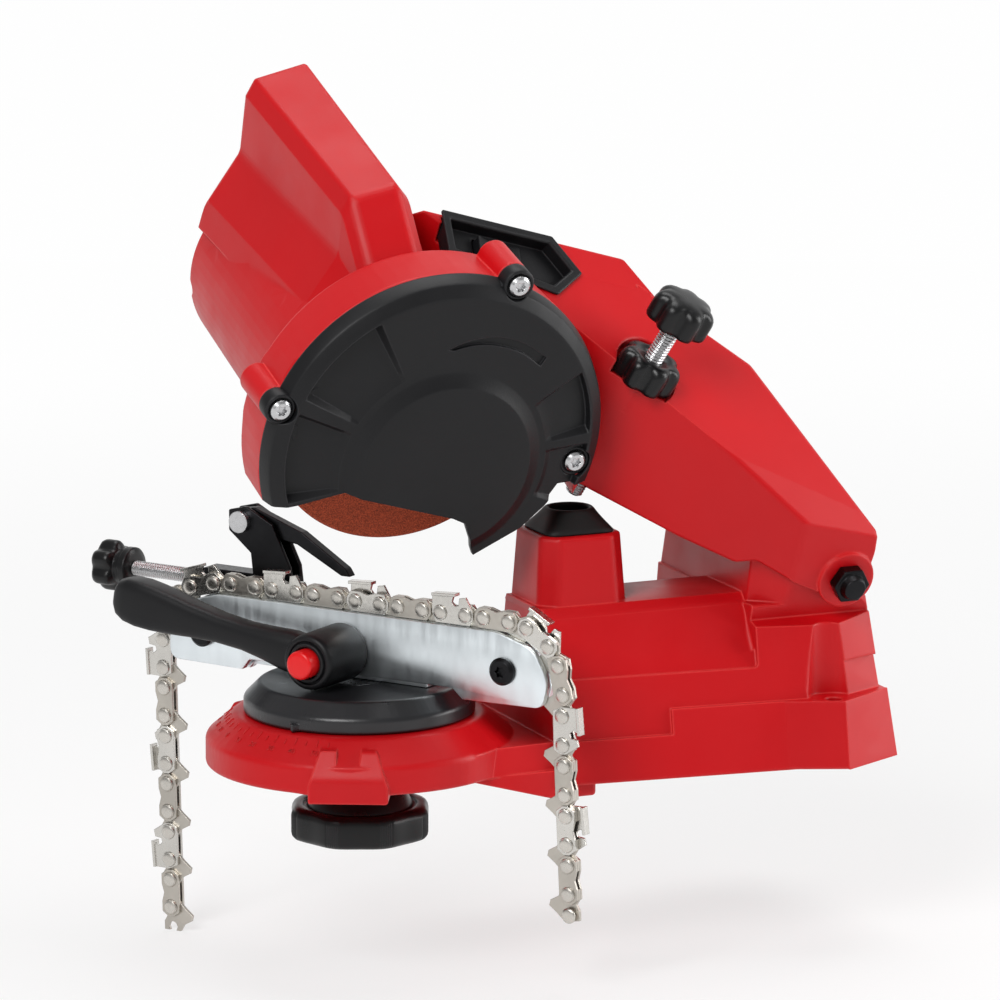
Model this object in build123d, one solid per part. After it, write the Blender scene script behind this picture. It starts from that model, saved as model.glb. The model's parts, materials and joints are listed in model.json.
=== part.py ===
from build123d import *
import math
import os

# Electric saw-chain sharpener: a grinding head on a pivoted arm above a
# swivelling chain vise, all carried by a moulded base that overhangs the front
# edge of a workbench. Millimetres, +Z up, +X to the rear of the machine,
# -Y towards the side with the guard. Everything is built about the swivel axis
# of the vise and moved at the end, so that the origin lies between the two
# bench screws.

# ---------------------------------------------------------------- dimensions
CLEAR = 0.3            # air between pieces that move on each other
SEAT = 0.05            # fit of fixed pieces in their seats
RUN_FIT = 0.05         # radial clearance of a turning shaft

# base
TABLE_R = 58.5         # round table under the vise
TABLE_Z0 = 5.5
TABLE_RIM_Z = 16.3
LUG_ANGLE = 26.0       # lugs under the rim, forward of square
LUG_OUTLINE = [(-15, 3), (15, 3), (15, 9), (10.5, 22), (4.5, 22), (4.5, 15.5), (-4.5, 15.5),
               (-4.5, 22), (-10.5, 22), (-15, 9)]
SCALE_R = 47.5         # top of the conical scale face
SEAT_Z = 25.3          # seat of the turntable
DECK_Z = 65.0          # deck between post and tower
DECK_NEAR = -31.0
DECK_FAR = 1.0
CREASE_Z = 62.0        # top crease of the sunk side panel
PANEL_Z = 39.0         # bottom crease of the sunk side panel
TOWER_X = 144.0        # front wall of the tower
BASE_REAR = 202.0
WALL = 4.0             # base wall
LEDGE_Z = 26.0         # ledge at the foot of the tower
BOLT_X = 172.0         # bench screws
BOLT_Y = 57.0
BOLT_R = 3.3
POCKET_R = 9.5         # round pocket over each bench screw
POCKET_SWEEP = [(126.5, 130), (126.5, 58), (127.6, 48), (129.8, 40), (132.6, 33.6), (136.5, 29.0),
                (152, 28), (152, 130)]
LIP_Z = -5.4           # stop lip against the bench edge
LIP_X0 = 62.0
LIP_X1 = 78.0
DRAFT = math.tan(math.radians(9.5))

# post with the depth stop
POST_X = 81.2
POST_Y = -12.2
POST_FOOT = 37.0       # width at the deck
POST_HEAD = 33.5       # width at the top
POST_CHAMFER = 5.8
POST_Z = 91.2
POST_BORE = 10.5
POST_FLOOR = 87.0      # floor of the bore, where the depth stop stands
STOP_R = 4.5
STOP_TOP = 92.8        # anvil that the depth screw meets
STOP_X = 83.9          # off the middle of the bore, where the screw comes down
STOP_Y = -7.1

# arm: plane of the grinding wheel, leaning towards the operator
TILT = 17.0
ARM_Z = 70.5
PIVOT_X = 179.7
PIVOT_V = 15.0
ARM_NEAR = 48.0        # outer face of the near skirt
ARM_FAR = -44.5        # outer face of the far skirt
ARM_WALL = 3.5
SKIRT_GAP = 0.7        # air between a skirt and the tower
PIVOT_R = 4.0          # pivot bolt
ARM_STROKE = 6.0       # degrees from raised to the stop

# facets of the arm, each by a point and its outward normal in the arm frame
NEAR_POINT = (119.0, 26.0, 25.0)
NEAR_NORMAL = (-0.596, 0.0716, 1.0)
ROOF_POINT = (107.0, 88.0, 5.5)
ROOF_NORMAL = (0.308, 1.0, 0.668)
TOP_POINT = (114.8, 106.0, -25.0)
TOP_NORMAL = (0.308, 1.0, 0.45)
BROW_POINT = (104.5, 116.0, -39.0)
BROW_NORMAL = (0.308, 1.0, -1.6)
REAR_POINT = (154.0, 82.0, -7.0)
REAR_NORMAL = (1.306, 1.0, 0.0)
BACK_POINT = (118.3, 104.9, -30.0)
BACK_NORMAL = (1.143, 1.0, 0.0)
CHEEK_POINT = (160.0, 51.3, 36.0)
CHEEK_NORMAL = (0.26, 1.0, 0.9)

# wheel and drive
WHEEL_X = 9.7
WHEEL_V = 77.5
WHEEL_R = 54.0
WHEEL_T = 3.2
WHEEL_BORE = 11.5
SHAFT_R = 5.0
FLANGE_R = 16.0
FLANGE_T = 3.0
GUARD_X = 16.5
GUARD_V = 70.2
GUARD_R = 68.0         # guard at its joint with the drum
GUARD_R1 = 66.5        # guard at the foot of its bevel
GUARD_R2 = 61.5        # flat face of the guard
GUARD_WALL = 2.5
GUARD_BACK = 11.0
GUARD_BEVEL = 17.0     # where the bevel of the rim starts
GUARD_FACE = 20.0
HUB_X = 18.8           # raised hub cover, below the middle of the guard
HUB_V = 62.5
HUB_R0 = 39.0
HUB_R1 = 34.0
HUB_FACE = 22.2
FAN_DEPTH = 1.6        # sunk fans round the hub cover
FANS = [(156.0, 188.0, 60.0), (118.0, 152.0, 60.0), (7.0, 34.0, 57.5)]
FAN_R0 = 41.5
CRESCENT = [(17.4, 111.7), (30.0, 115.3), (44.0, 112.3), (55.6, 104.3), (54.0, 100.8),
            (44.0, 108.0), (32.0, 111.4)]
CRESCENT_DEPTH = 0.8
DRUM_BACK = -12.0
DRUM_R0 = 67.0         # drum at its floor
DRUM_WALL = 2.6
EARS = [(-47.8, 90.3), (41.9, 134.4), (73.9, 58.9)]
EAR_R = 6.2
EAR_FACE = 17.5
GUARD_SCREW_R = 2.0
BARREL_R0 = 45.0       # motor barrel next to the drum
BARREL_TAPER = 4.5
BARREL_R1 = BARREL_R0 - BARREL_TAPER   # motor barrel at its end cap
BARREL_END = -125.0
SHELL = 2.8            # wall of the motor housing
STATOR_R = 33.0
STATOR_K0 = -104.0
STATOR_K1 = -56.0
ROTOR_R = 17.5
BEARING_R = 11.0
BEARING_T = 7.0

# depth screw and its two knobs
SCREW_K = -3.0
SCREW_R = 3.75
SCREW_TILT = 19.9      # to the rear, in the arm's plane
SCREW_LEAN = 8.65      # out of that plane
SCREW_TIP = (84.9, 34.45)
INSERT_R = 5.0         # threaded insert that carries the screw
KNOB_R = 12.6
KNOB_H = 13.0
KNOB_BEVEL = 2.0       # bevel round the top of every knob

# turntable and vise
TABLE_TOP_R = 44.0
TABLE_TOP_Z0 = 25.6
TABLE_TOP_Z1 = 31.0
TABLE_TOP_Z2 = 37.0
TABLE_TOP_R2 = 38.0
SWIVEL_R = 5.0
SWIVEL_REST = 35.0     # swing of the vise in the stored pose
KNOB_LOW_R = 27.4
KNOB_LOW_Z0 = -23.7
KNOB_LOW_Z1 = -10.7
JAW_GAP = 1.6          # slot for the drive links
JAW_T = 3.0
JAW_TOP = 63.5
JAW_FOOT = 39.7
STUD_S = -4.0
STUD_Z = 48.5
STUD_R = 4.0
LEVER_HUB_R = 10.6
LEVER_HUB_D = 30.0

# saw chain, 3/8 inch low profile
PITCH_SIDE = 11.0      # rivet spacing of a side link
PITCH_DRIVE = 8.05     # rivet spacing of a drive link
GAUGE = 1.3
STRAP_T = 1.15
STRAP_H = 7.8
RIVET_R = 1.9
RIVET_HEAD_R = 2.9
RIVET_HEAD = 0.7
SIDE_D = GAUGE / 2 + 0.1   # inner face of a strap
CHAIN_Z = JAW_TOP + STRAP_H / 2 + 0.2

# ------------------------------------------------------------------- frames
SIN_T = math.sin(math.radians(TILT))
COS_T = math.cos(math.radians(TILT))
SIN_S = math.sin(math.radians(90 - SWIVEL_REST))
COS_S = math.cos(math.radians(90 - SWIVEL_REST))
# arm frame: x to the rear, y up along the wheel, z out of the guard
ARM = Plane(origin=(0, 0, ARM_Z), x_dir=(1, 0, 0), z_dir=(0, -COS_T, -SIN_T))
# vise frame: x along the chain, y up, z towards the clamping lever
VISE = Plane(origin=(0, 0, 0), x_dir=(COS_S, -SIN_S, 0), z_dir=(-SIN_S, -COS_S, 0))
LOW = (Align.CENTER, Align.CENTER, Align.MIN)

parts = {}


def disc(radius, z0, z1, x=0.0, y=0.0):
    """A round disc or pin along the local z axis from z0 to z1."""
    return Pos(x, y, z0) * Cylinder(radius, z1 - z0, align=LOW)


def ring(r_out, r_in, z0, z1, x=0.0, y=0.0):
    return disc(r_out, z0, z1, x, y) - disc(r_in, z0 - 1, z1 + 1, x, y)


def frustum(r0, r1, z0, z1, x=0.0, y=0.0):
    return Pos(x, y, z0) * Cone(r0, r1, z1 - z0, align=LOW)


def block(x0, x1, y0, y1, z0, z1):
    return Pos((x0 + x1) / 2, (y0 + y1) / 2, (z0 + z1) / 2) * Box(x1 - x0, y1 - y0, z1 - z0)


def prism(points, z0, z1):
    """A polygon in the local xy plane, drawn out from z0 to z1."""
    face = Polygon(*points, align=None)
    return Pos(0, 0, z0) * extrude(face, amount=z1 - z0, dir=(0, 0, 1))


def ruled(points0, z0, points1, z1):
    """Straight-sided body between two polygons with as many corners."""
    low = Pos(0, 0, z0) * Polygon(*points0, align=None)
    high = Pos(0, 0, z1) * Polygon(*points1, align=None)
    return loft([low, high], ruled=True)


def mirrored(points):
    """Close a chain of near-side points with its mirror image in y."""
    return points + [(x, -y) for x, y in reversed(points)]


def octagon(width, chamfer, x, y):
    h = width / 2
    c = h - chamfer
    return [(x - h, y - c), (x - c, y - h), (x + c, y - h), (x + h, y - c),
            (x + h, y + c), (x + c, y + h), (x - c, y + h), (x - h, y + c)]


def below(shape, point, normal):
    """Keep what lies behind the plane through point with this outward normal."""
    return split(shape, bisect_by=Plane(origin=point, z_dir=normal), keep=Keep.BOTTOM)


def shifted(point, normal, inward):
    """Move a plane's point inward along its normal."""
    n = math.sqrt(sum(c * c for c in normal))
    return tuple(p - c * inward / n for p, c in zip(point, normal))


def cross(a, b):
    return (a[1] * b[2] - a[2] * b[1], a[2] * b[0] - a[0] * b[2], a[0] * b[1] - a[1] * b[0])


def hexagon(across, z0, z1, x=0.0, y=0.0):
    face = RegularPolygon(across / math.sqrt(3), 6)
    return Pos(x, y, z0) * extrude(face, amount=z1 - z0)


def torx(r, z0, z1, x=0.0, y=0.0):
    """Six-pointed recess of a screw head."""
    star = []
    for i in range(12):
        reach = r if i % 2 == 0 else r * 0.68
        a = math.radians(30 * i)
        star.append((x + reach * math.cos(a), y + reach * math.sin(a)))
    return prism(star, z0, z1)


def star_knob(radius, height, lobes, bore):
    """Moulded grip with flat-topped lobes and hollows between them, top drawn in."""
    outline = []
    half = 180.0 / lobes
    for i in range(lobes):
        for share, reach in ((-0.62, 1.0), (0.62, 1.0), (0.86, 0.9), (1.14, 0.9)):
            a = math.radians(half * (2 * i + share))
            outline.append((radius * reach * math.cos(a), radius * reach * math.sin(a)))
    inner = [(x * 0.86, y * 0.86) for x, y in outline]
    body = prism(outline, 0, height - KNOB_BEVEL)
    body += ruled(outline, height - KNOB_BEVEL, inner, height)
    if bore:
        body -= disc(bore, -1, height + 1)
    return body


# --------------------------------------------------------------------- base
def side(x, z):
    """Half width of the main wall: it flares to the rear and drafts inward."""
    return 50.0 + (x - LIP_X1) * 8.0 / 75.0 - DRAFT * z


def plan(z, grow=0.0):
    """Near-side outline of the skirt at height z."""
    corner = (174.5, -66.8 + DRAFT * z + grow)
    return [(LIP_X0, -side(LIP_X0, z) + grow), (LIP_X1, -side(LIP_X1, z) + grow),
            (153.0, -side(153.0, z) + grow), corner,
            (BASE_REAR - 0.1 * z - grow, -52.0 + DRAFT * z + grow)]


def upper(z, grow=0.0):
    """Near-side outline of the walls above the ledges."""
    inset = 1.6 + grow
    return [(LIP_X0 - 2 + inset, -side(LIP_X0, z) + inset), (TOWER_X, -side(TOWER_X, z) + inset),
            (176.0, -side(176.0, z) + inset), (BASE_REAR - 0.12 * z - inset, -49.0 + DRAFT * z + grow)]


def base_outside():
    table = disc(TABLE_R, TABLE_Z0, TABLE_RIM_Z)
    table += frustum(TABLE_R, SCALE_R, TABLE_RIM_Z, SEAT_Z)
    neck = ruled([(8, -49), (64, -44.5), (64, 44.5), (8, 49)], TABLE_Z0,
                 [(8, -47), (64, -43), (64, 43), (8, 47)], TABLE_RIM_Z)
    # the underside of the neck falls to the lip that stops on the bench edge
    chin = extrude(Plane.XZ * Polygon((24, TABLE_Z0 + 0.5), (24, TABLE_Z0), (LIP_X0, LIP_Z),
                                      (LIP_X1, LIP_Z), (LIP_X1, 0.5), (66, TABLE_Z0 + 0.5),
                                      align=None), amount=46.5, both=True)
    skirt = ruled(mirrored(plan(0)), 0, mirrored(plan(LEDGE_Z)), LEDGE_Z)
    # forward of the tower the skirt ends at the lower ledge
    skirt -= block(40, 108, -80, 80, TABLE_RIM_Z, 60)
    walls = ruled(mirrored(upper(12)), 12, mirrored(upper(PANEL_Z)), PANEL_Z)
    body = table + neck + chin + skirt + walls
    # sunk side panel that leans in to the deck
    low = [(64, -side(64, PANEL_Z) + 2.2), (TOWER_X + 4, -side(TOWER_X, PANEL_Z) + 2.2),
           (TOWER_X + 4, 14), (64, 14)]
    high = [(62, -34), (TOWER_X + 4, -34), (TOWER_X + 4, 5), (62, 5)]
    top = [(61, DECK_NEAR), (TOWER_X + 4, DECK_NEAR), (TOWER_X + 4, DECK_FAR), (61, DECK_FAR)]
    body += ruled(low, PANEL_Z, high, CREASE_Z)
    body += ruled(high, CREASE_Z, top, DECK_Z)
    # tower with drafted walls
    tower = ruled([(TOWER_X, -side(TOWER_X, PANEL_Z) + 1.6), (176, -side(176, PANEL_Z) + 1.6),
                   (195.6, -45.0), (195.6, 45.0), (176, side(176, PANEL_Z) - 1.6),
                   (TOWER_X, side(TOWER_X, PANEL_Z) - 1.6)], PANEL_Z,
                  [(TOWER_X, -side(TOWER_X, CREASE_Z) + 1.6), (176, -side(176, CREASE_Z) + 1.6),
                   (193.0, -41.5), (193.0, 41.5), (176, side(176, CREASE_Z) - 1.6),
                   (TOWER_X, side(TOWER_X, CREASE_Z) - 1.6)], CREASE_Z)
    return body + tower


def rear_pocket():
    """Hollow sweep over a bench screw: concave above, with a round pocket below."""
    face = Polygon(*POCKET_SWEEP, align=None)
    plane = Plane(origin=(0, 0, 0), x_dir=(0.46, -0.888, 0), z_dir=(-0.888, -0.46, 0))
    sweep = plane.location * extrude(face, amount=120, both=True)
    cup = disc(POCKET_R, LEDGE_Z, 60, BOLT_X, -BOLT_Y)
    hole = disc(BOLT_R, -1, 60, BOLT_X, -BOLT_Y)
    return sweep + cup, hole


def tower_top():
    """Upper tower between the skirts of the arm, in the arm frame."""
    near = ARM_NEAR - ARM_WALL - SKIRT_GAP
    far = ARM_FAR + ARM_WALL + SKIRT_GAP
    lug = 10.0
    shape = prism([(TOWER_X + 1, -24), (TOWER_X + 1, 22), (TOWER_X + 8, 31), (PIVOT_X - 8, 31),
                   (PIVOT_X + 6, PIVOT_V + lug - 2), (PIVOT_X + lug, PIVOT_V),
                   (PIVOT_X + lug - 2, -24)], far, near)
    # the near side follows the slanted skirt of the arm
    shape = below(shape, shifted(NEAR_POINT, NEAR_NORMAL, ARM_WALL + 2 * SKIRT_GAP), NEAR_NORMAL)
    return ARM.location * shape


def make_base():
    body = base_outside()
    sweep, hole = rear_pocket()
    mirror_plane = Plane.XZ
    body -= sweep
    body -= mirror(sweep, about=mirror_plane)
    top = tower_top()
    top &= block(100, 260, -70, 70, 45, 140)
    body += top
    # relief round the nut side, under the far skirt of the arm
    body -= ARM.location * block(125, 215, PIVOT_V - 17, 80, -75, ARM_FAR + ARM_WALL + SKIRT_GAP)
    # relief beside the near skirt of the arm
    body -= ARM.location * block(125, 215, PIVOT_V - 17, 80, ARM_NEAR - ARM_WALL - SKIRT_GAP, 75)
    # post with chamfered corners
    post = ruled(octagon(POST_FOOT, POST_CHAMFER, POST_X, POST_Y), DECK_Z - 3,
                 octagon(POST_HEAD, POST_CHAMFER, POST_X, POST_Y), POST_Z)
    body += post
    # hollow underside
    inside = ruled(mirrored([(LIP_X1 + 4, -42), (150, -49), (158, -50), (160, -40), (190, -38)]), -1,
                   mirrored([(LIP_X1 + 4, -36), (150, -43), (158, -43), (160, -36), (186, -34)]),
                   PANEL_Z - 5)
    cavity = inside
    cavity += ruled([(82, -38), (TOWER_X + 4, -38), (TOWER_X + 4, 6), (82, 6)], PANEL_Z - 8,
                    [(82, DECK_NEAR + WALL), (TOWER_X + 4, DECK_NEAR + WALL),
                     (TOWER_X + 4, DECK_FAR - WALL), (82, DECK_FAR - WALL)], DECK_Z - WALL)
    cavity += ruled([(TOWER_X + WALL, -40), (188, -36), (188, 36), (TOWER_X + WALL, 40)], PANEL_Z - 8,
                    [(TOWER_X + WALL, -36), (186, -32), (186, 32), (TOWER_X + WALL, 36)], CREASE_Z)
    # stiffening ribs stay across the hollow
    for x in (112.0, TOWER_X + 2):
        cavity -= block(x - 1.5, x + 1.5, -80, 80, 6, 80)
    cavity -= block(60, BASE_REAR, -1.5, 1.5, 6, 80)
    body -= cavity
    body -= disc(POST_BORE, POST_FLOOR, POST_Z + 1, POST_X, POST_Y)
    body -= hole
    body -= mirror(hole, about=mirror_plane)
    # swivel bore and hollow under the table
    body -= ring(TABLE_R - 6, 20, TABLE_Z0 - 1, TABLE_Z0 + 8) - block(30, 90, -60, 60, 0, 30)
    body -= disc(SWIVEL_R + CLEAR, TABLE_Z0 - 1, SEAT_Z + 1)
    # pivot bore, along the arm frame's z
    body -= ARM.location * disc(PIVOT_R + RUN_FIT, -80, 80, PIVOT_X, PIVOT_V)
    # tapered lugs of the table, each with a notch in its top
    lug = extrude(Plane.XZ * Polygon(*LUG_OUTLINE, align=None), amount=TABLE_R + 1.5, dir=(0, -1, 0))
    lug -= block(-40, 40, -TABLE_R + 12, 10, 0, 40)
    lug = below(lug, (0, -TABLE_R - 1.5, 12), (0, -2, 1))
    lug = Rot(0, 0, -LUG_ANGLE) * lug
    body += lug
    body += mirror(lug, about=mirror_plane)
    return body


parts["base_shell"] = make_base()

# ---------------------------------------------------------------------- arm
def arm_solid(inward):
    """Faceted arm in its own frame; a positive inward gives the hollow."""
    near = ARM_NEAR - inward
    far = ARM_FAR + inward
    drop = 30.0 if inward > 0 else 0.0
    under = [(20, 66), (70, 46), (87, 39.5), (119, 26), (138, 19.5), (145, 21.8), (174, 7.8), (184, 6.5)]
    under = [(x, v - drop) for x, v in under]
    heel = [(188 - inward, 12.0 - drop), (191 - inward, 27.0), (191 - inward, 40.0)]
    outline = under + heel + [(150, 160), (10, 160), (10 + inward, 66 - drop)]
    bar = prism(outline, far, near)
    bar = below(bar, shifted(NEAR_POINT, NEAR_NORMAL, inward), NEAR_NORMAL)
    bar = below(bar, shifted(ROOF_POINT, ROOF_NORMAL, inward), ROOF_NORMAL)
    bar = below(bar, shifted(CHEEK_POINT, CHEEK_NORMAL, inward), CHEEK_NORMAL)
    front = below(bar, shifted(TOP_POINT, TOP_NORMAL, inward), TOP_NORMAL)
    front = below(front, shifted(BACK_POINT, BACK_NORMAL, inward), BACK_NORMAL)
    front = below(front, shifted(BROW_POINT, BROW_NORMAL, inward), BROW_NORMAL)
    rear = below(bar, shifted(REAR_POINT, REAR_NORMAL, inward), REAR_NORMAL)
    edge = (154.0 - 118.0, 82.0 - 105.0, -7.0 + 24.5)
    fall = (6.0, -24.0, -30.0)
    normal = cross(fall, edge)
    if normal[2] > 0:
        normal = tuple(-c for c in normal)
    rear = below(rear, shifted((118.0, 105.0, -24.5), normal, inward), normal)
    rear &= block(112 + inward, 220, -60, 200, -90, 90)
    return front + rear


def drum_cut(grow):
    """Open bottom of the guard and drum, where the wheel shows."""
    return [(-90, 54 - grow), (-52, 49 - grow), (-38, 50.9 - grow), (-19.4, 54.7 - grow),
            (24.3, 41.6 - grow), (29.5, 39 - grow), (35.8, 23.6 - grow), (53.8, 33.5 - grow),
            (62.9, 42.5 - grow), (68, 50 - grow), (92, 50 - grow), (92, -60), (-90, -60)]


def ear_bosses(k0, k1, radius):
    bosses = None
    for x, v in EARS:
        boss = disc(radius, k0, k1, x, v)
        arm_len = math.hypot(x - GUARD_X, v - GUARD_V)
        ux, uv = (GUARD_X - x) / arm_len, (GUARD_V - v) / arm_len
        sx, sv = -uv * radius, ux * radius
        web = prism([(x + sx, v + sv), (x - sx, v - sv), (x - sx + ux * 14, v - sv + uv * 14),
                     (x + sx + ux * 14, v + sv + uv * 14)], k0, k1)
        bosses = boss + web if bosses is None else bosses + boss + web
    return bosses


def fin_section(k, left, right, top, slope, inward):
    """Cross-section of the raised fin: foot, flank, shoulder and crown on each side."""
    i = inward
    pts = [(left - 13 + i, 96), (left - 11 + i, 108), (left + i, min(128, top - 10)),
           (left + i, top - 9 - i), (left + 3 + i, top - 2 - i), (right - 5 - i, top + slope - i),
           (right - i, top - 4 - i), (right + 5 - i, min(128, top - 10)), (right + 16 - i, 108),
           (right + 18 - i, 96), (WHEEL_X, 84)]
    return Pos(0, 0, k) * Polygon(*pts, align=None)


def barrel(inward):
    """Tapered barrel with the raised fin above it."""
    k0 = DRUM_BACK - SEAT
    k1 = BARREL_END + inward
    body = Pos(WHEEL_X, WHEEL_V, 0) * (Pos(0, 0, k1) * Cone(
        BARREL_R1 - inward, BARREL_R0 - inward, k0 - k1, align=LOW))
    far = fin_section(k1, -16.5, 12.0, 160.5, 3.5, inward)
    mid = fin_section(-31, -11.0, 15.0, 153.0, 2.0, inward)
    near = fin_section(k0, -8.0, 18.0, 131.0, 2.0, inward)
    return body + loft([far, mid], ruled=True) + loft([mid, near], ruled=True)


def make_arm():
    shell = arm_solid(0) - arm_solid(ARM_WALL)
    # the rear is open below the roof, round the lug of the tower
    shell -= block(PIVOT_X + 4, PIVOT_X + 20, -60, PIVOT_V + 17, ARM_FAR + ARM_WALL, ARM_NEAR - ARM_WALL)
    # the motor barrel stands in the arm
    shell -= barrel(-SEAT)
    # cup-shaped drum round the wheel, with a thick floor that carries the bearing
    drum = frustum(DRUM_R0, GUARD_R, DRUM_BACK, GUARD_BACK - SEAT, GUARD_X, GUARD_V)
    drum += ear_bosses(-9, GUARD_BACK - SEAT, EAR_R)
    inside = disc(DRUM_R0 - DRUM_WALL, DRUM_BACK + 4.5, 40, GUARD_X, GUARD_V)
    mouth = disc(DRUM_R0 - DRUM_WALL, -60, 40, GUARD_X, GUARD_V)
    bottom = prism(drum_cut(0), -60, 60)
    shell -= mouth & block(-90, 120, -60, 200, DRUM_BACK, 60)
    shell -= block(-90, GUARD_X, -60, 220, DRUM_BACK, 60)
    shell += drum
    for x, v in EARS:
        shell += disc(EAR_R, -9, GUARD_BACK - SEAT, x, v)
    shell -= inside
    shell -= bottom & block(-90, 78, -60, 60, DRUM_BACK - 1, 60)
    # floor: bearing seat, open towards the motor
    shell += disc(BEARING_R + 3, DRUM_BACK - 6, DRUM_BACK + 5.5, WHEEL_X, WHEEL_V)
    shell -= disc(BEARING_R, DRUM_BACK - 7, DRUM_BACK + BEARING_T - 5.5, WHEEL_X, WHEEL_V)
    shell -= disc(SHAFT_R + 2, DRUM_BACK - 7, 20, WHEEL_X, WHEEL_V)
    for x, v in EARS:
        shell -= disc(GUARD_SCREW_R + SEAT, -4, GUARD_BACK + 2, x, v)
    # pivot bosses
    near_boss = disc(11.5, ARM_NEAR - 1, ARM_NEAR + 1.4, PIVOT_X, PIVOT_V)
    far_boss = disc(11.5, ARM_FAR - 1.4, ARM_FAR + 1, PIVOT_X, PIVOT_V)
    shell += near_boss + far_boss
    shell -= disc(PIVOT_R + SEAT, -90, 90, PIVOT_X, PIVOT_V)
    return shell


ARM_LOCAL = make_arm()


# switch recess in the upper arm
def tilt_frame(x, k):
    """Frame on the roof plane: x along the arm, y up the slope, z outward."""
    v = ROOF_POINT[1] - ROOF_NORMAL[0] * (x - ROOF_POINT[0]) - ROOF_NORMAL[2] * (k - ROOF_POINT[2])
    return Plane(origin=(x, v, k), x_dir=(1, -ROOF_NORMAL[0], 0), z_dir=ROOF_NORMAL)


SWITCH_FRAME = tilt_frame(55.0, -28.0)
SWITCH_DEPTH = 7.5
SWITCH_RECESS = [(-25.0, 10.0), (-24.0, -6.8), (21.5, -13.5), (32.5, -2.5), (22.0, 10.0)]
ROCKER_L = 20.0
ROCKER_W = 9.8
SWITCH_FLOOR = -4.5    # floor of the sunk bezel
ROCKER_PIN_Z = -6.0
ROCKER_PIN_R = 1.0


def recess(grow):
    """Five-cornered outline of the switch recess, made larger by grow."""
    outline = Polygon(*SWITCH_RECESS, align=None)
    if grow:
        outline = offset(outline, amount=grow, kind=Kind.INTERSECTION)
    return outline


def recess_prism(grow, z0, z1):
    return Pos(0, 0, z0) * extrude(recess(grow), amount=z1 - z0, dir=(0, 0, 1))


def seat_frame():
    """Frame on the depth screw's axis; z runs up along the screw."""
    a = math.radians(SCREW_TILT)
    b = math.radians(SCREW_LEAN)
    tip = (SCREW_TIP[0], SCREW_TIP[1], SCREW_K)
    along = (math.sin(a) * math.cos(b), math.cos(a) * math.cos(b), math.sin(b))
    return Plane(origin=tip, x_dir=(math.cos(a), -math.sin(a), 0), z_dir=along)


SCREW = seat_frame()
LOCK_Z = 53.2          # foot of the lock knob along the screw
DEPTH_Z = 79.5         # foot of the depth knob along the screw
INSERT_L = 12.0
SCREW_BOSS_R = 7.0     # boss moulded round the screw

BEZEL_LIP = 1.4        # flange of the bezel on the roof of the arm
GLAND_AT = (95.0, 62.0)
GLAND_R = 5.5
CORD_R = 3.3
ARM_LOCAL -= SWITCH_FRAME.location * recess_prism(0, -SWITCH_DEPTH - 1, 20)
ARM_LOCAL -= SWITCH_FRAME.location * recess_prism(BEZEL_LIP + SEAT, 0, 20)
# moulded boss round the depth screw, kept inside the arm's facets
screw_boss = SCREW.location * disc(SCREW_BOSS_R, 4, LOCK_Z)
ARM_LOCAL += screw_boss & arm_solid(0)
ARM_LOCAL -= SCREW.location * disc(KNOB_R + 0.6, LOCK_Z - 0.2, LOCK_Z + 60)
ARM_LOCAL -= SCREW.location * disc(INSERT_R + SEAT, LOCK_Z - INSERT_L - SEAT, 90)
ARM_LOCAL -= SCREW.location * disc(SCREW_R + 2 * CLEAR, -2, LOCK_Z)
ARM_LOCAL -= disc(GLAND_R + SEAT, ARM_FAR - 1, ARM_FAR + 10, *GLAND_AT)
parts["arm_shell"] = ARM.location * ARM_LOCAL
gland = disc(GLAND_R, ARM_FAR - 13, ARM_FAR + ARM_WALL + 2, *GLAND_AT)
gland += disc(GLAND_R + 3, ARM_FAR - 3, ARM_FAR, *GLAND_AT)
parts["cord_gland"] = ARM.location * (gland - disc(CORD_R, -90, 0, *GLAND_AT))
parts["depth_insert"] = ARM.location * (SCREW.location * ring(
    INSERT_R, SCREW_R + RUN_FIT, LOCK_Z - INSERT_L, LOCK_Z - CLEAR))

bezel = recess_prism(-SEAT, -SWITCH_DEPTH, 0.0)
bezel += recess_prism(BEZEL_LIP, 0.0, 1.2)
bezel -= recess_prism(-2.2, SWITCH_FLOOR, 5)
bezel -= block(-ROCKER_L / 2 - CLEAR, ROCKER_L / 2 + CLEAR, -ROCKER_W / 2 - CLEAR, ROCKER_W / 2 + CLEAR,
               -9, 0)
bezel -= Pos(0, 0, ROCKER_PIN_Z) * Rot(90, 0, 0) * Cylinder(ROCKER_PIN_R + RUN_FIT, ROCKER_W + 5)
parts["switch_bezel"] = ARM.location * (SWITCH_FRAME.location * bezel)
# the end that goes down is drafted, so that it clears the bezel as it rocks
rocker = Plane.XZ * Polygon((-10, -7.2), (10, -7.2), (10, -5.6), (9.2, -2.2), (0, -4.0), (-10, -0.4),
                            align=None)
rocker = extrude(rocker, amount=ROCKER_W / 2, both=True)
rocker += Pos(0, 0, ROCKER_PIN_Z) * Rot(90, 0, 0) * Cylinder(ROCKER_PIN_R, ROCKER_W + 4)
parts["switch_rocker"] = ARM.location * (SWITCH_FRAME.location * rocker)

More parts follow.
